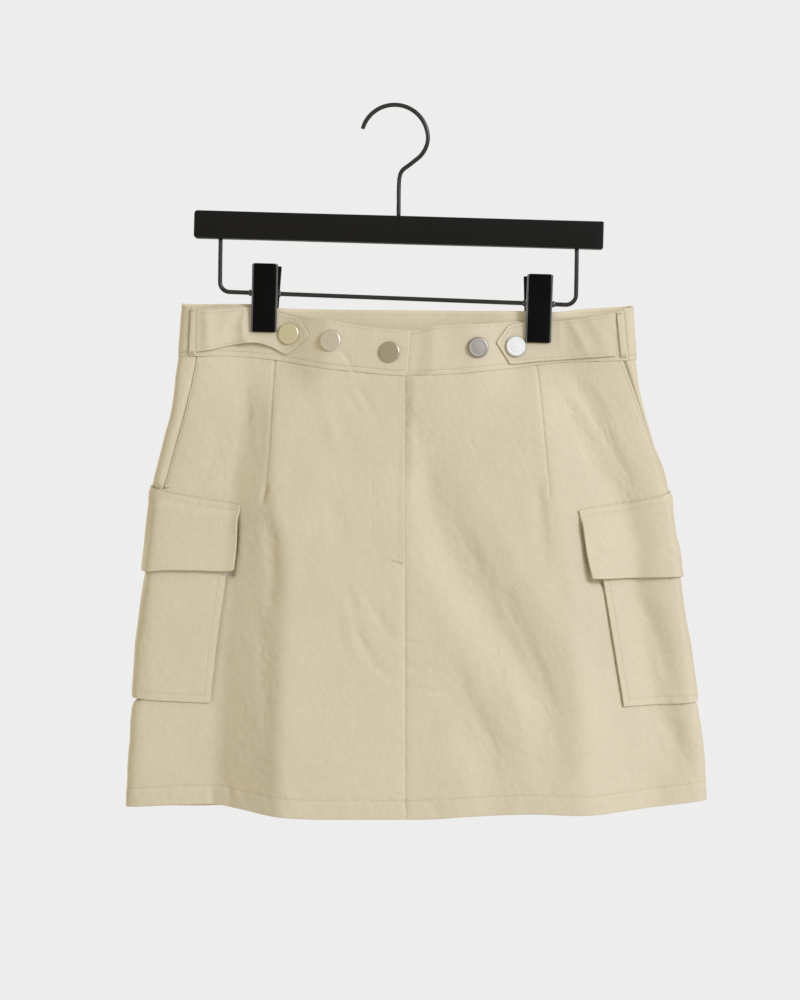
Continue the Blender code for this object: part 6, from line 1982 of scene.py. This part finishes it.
# --------------------------------------------------------------------- assembly
front_panel("front_left_cloth", -1)
front_panel("front_right_cloth", 1)
back_panel()
side_piece("side_piece_left_cloth", -1)
side_piece("side_piece_right_cloth", 1)
band_front_left()
band_front_right()
band_back()
fly_pieces()
for side_name in ("left", "right"):
    cargo(side_name)
    tab(side_name)
    loop(side_name)
sew()
threads = write_stitches()
for snap_name, snap_row in SNAPS.items():
    snap(snap_name, *snap_row)
bar()
wire("hook_wire", hook_route(), ("hanger_hook",))
wire("rail_wire", rail_route(), ("hanger_rail", "hanger_upright_left", "hanger_upright_right"))
clip("left")
clip("right")

# ------------------------------------------------------------------------ stage
floor_mesh = bpy.data.meshes.new("floor")
floor_mesh.from_pydata([(1.3 * math.cos(2 * math.pi * k / 64), 1.3 * math.sin(2 * math.pi * k / 64),
                         -1.0) for k in range(64)], [], [tuple(range(64))])
floor_mat, floor_tree, floor_shader = nodes_of("pale_floor")
floor_shader.inputs["Base Color"].default_value = (0.80, 0.79, 0.78, 1.0)
floor_shader.inputs["Roughness"].default_value = 0.9
floor_mesh.materials.append(floor_mat)
floor = bpy.data.objects.new("floor", floor_mesh)
bpy.context.scene.collection.objects.link(floor)
floor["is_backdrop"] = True

world = bpy.data.worlds.new("pale_studio")
bpy.context.scene.world = world
world.use_nodes = True
sky = world.node_tree
for node in list(sky.nodes):
    sky.nodes.remove(node)
seen = add_node(sky, "ShaderNodeBackground")
seen.inputs["Color"].default_value = (0.855, 0.848, 0.845, 1.0)
seen.inputs["Strength"].default_value = 1.0
lit = add_node(sky, "ShaderNodeBackground")
lit.inputs["Color"].default_value = (1.0, 0.938, 0.778, 1.0)
lit.inputs["Strength"].default_value = 0.625
path = add_node(sky, "ShaderNodeLightPath")
mix = add_node(sky, "ShaderNodeMixShader")
out_node = add_node(sky, "ShaderNodeOutputWorld")
sky.links.new(path.outputs["Is Camera Ray"], mix.inputs["Fac"])
sky.links.new(lit.outputs["Background"], mix.inputs[1])
sky.links.new(seen.outputs["Background"], mix.inputs[2])
sky.links.new(mix.outputs["Shader"], out_node.inputs["Surface"])


def area_light(name, at, aim, size, power, colour):
    data = bpy.data.lights.new(name, "AREA")
    data.shape = "DISK"
    data.size = size
    data.energy = power
    data.color = colour
    ob = bpy.data.objects.new(name, data)
    ob.location = at
    ob.rotation_mode = "QUATERNION"
    ob.rotation_quaternion = (Vector(aim) - Vector(at)).to_track_quat("-Z", "Y")
    bpy.context.scene.collection.objects.link(ob)
    return ob


centre = Vector((0.02, 0.0, -0.36))
area_light("key", (2.90, -2.97, 1.25), centre, 1.4, 98.0, (0.90, 0.985, 1.19))
area_light("back_soft", (-1.6, 1.9, 0.5), centre, 1.2, 26.0, (1.0, 0.985, 0.96))

camera_data = bpy.data.cameras.new("camera")
camera_data.lens = 108.0
camera_data.sensor_width = 36.0
camera_data.sensor_fit = "AUTO"
camera_data.clip_start, camera_data.clip_end = 0.1, 50.0
camera = bpy.data.objects.new("camera", camera_data)
camera.location = (0.0048, -2.4, -0.3144)
camera.rotation_euler = (math.pi / 2, 0.0, 0.0)
bpy.context.scene.collection.objects.link(camera)
bpy.context.scene.camera = camera
bpy.context.scene.view_settings.view_transform = "Standard"
bpy.context.scene.view_settings.look = "None"
bpy.context.scene.view_settings.exposure = 0.0
bpy.context.scene.view_settings.gamma = 1.0

bpy.context.view_layer.update()
low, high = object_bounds()
{"cad": [list(cad_low), list(cad_high)], "visual": [list(low), list(high)]}
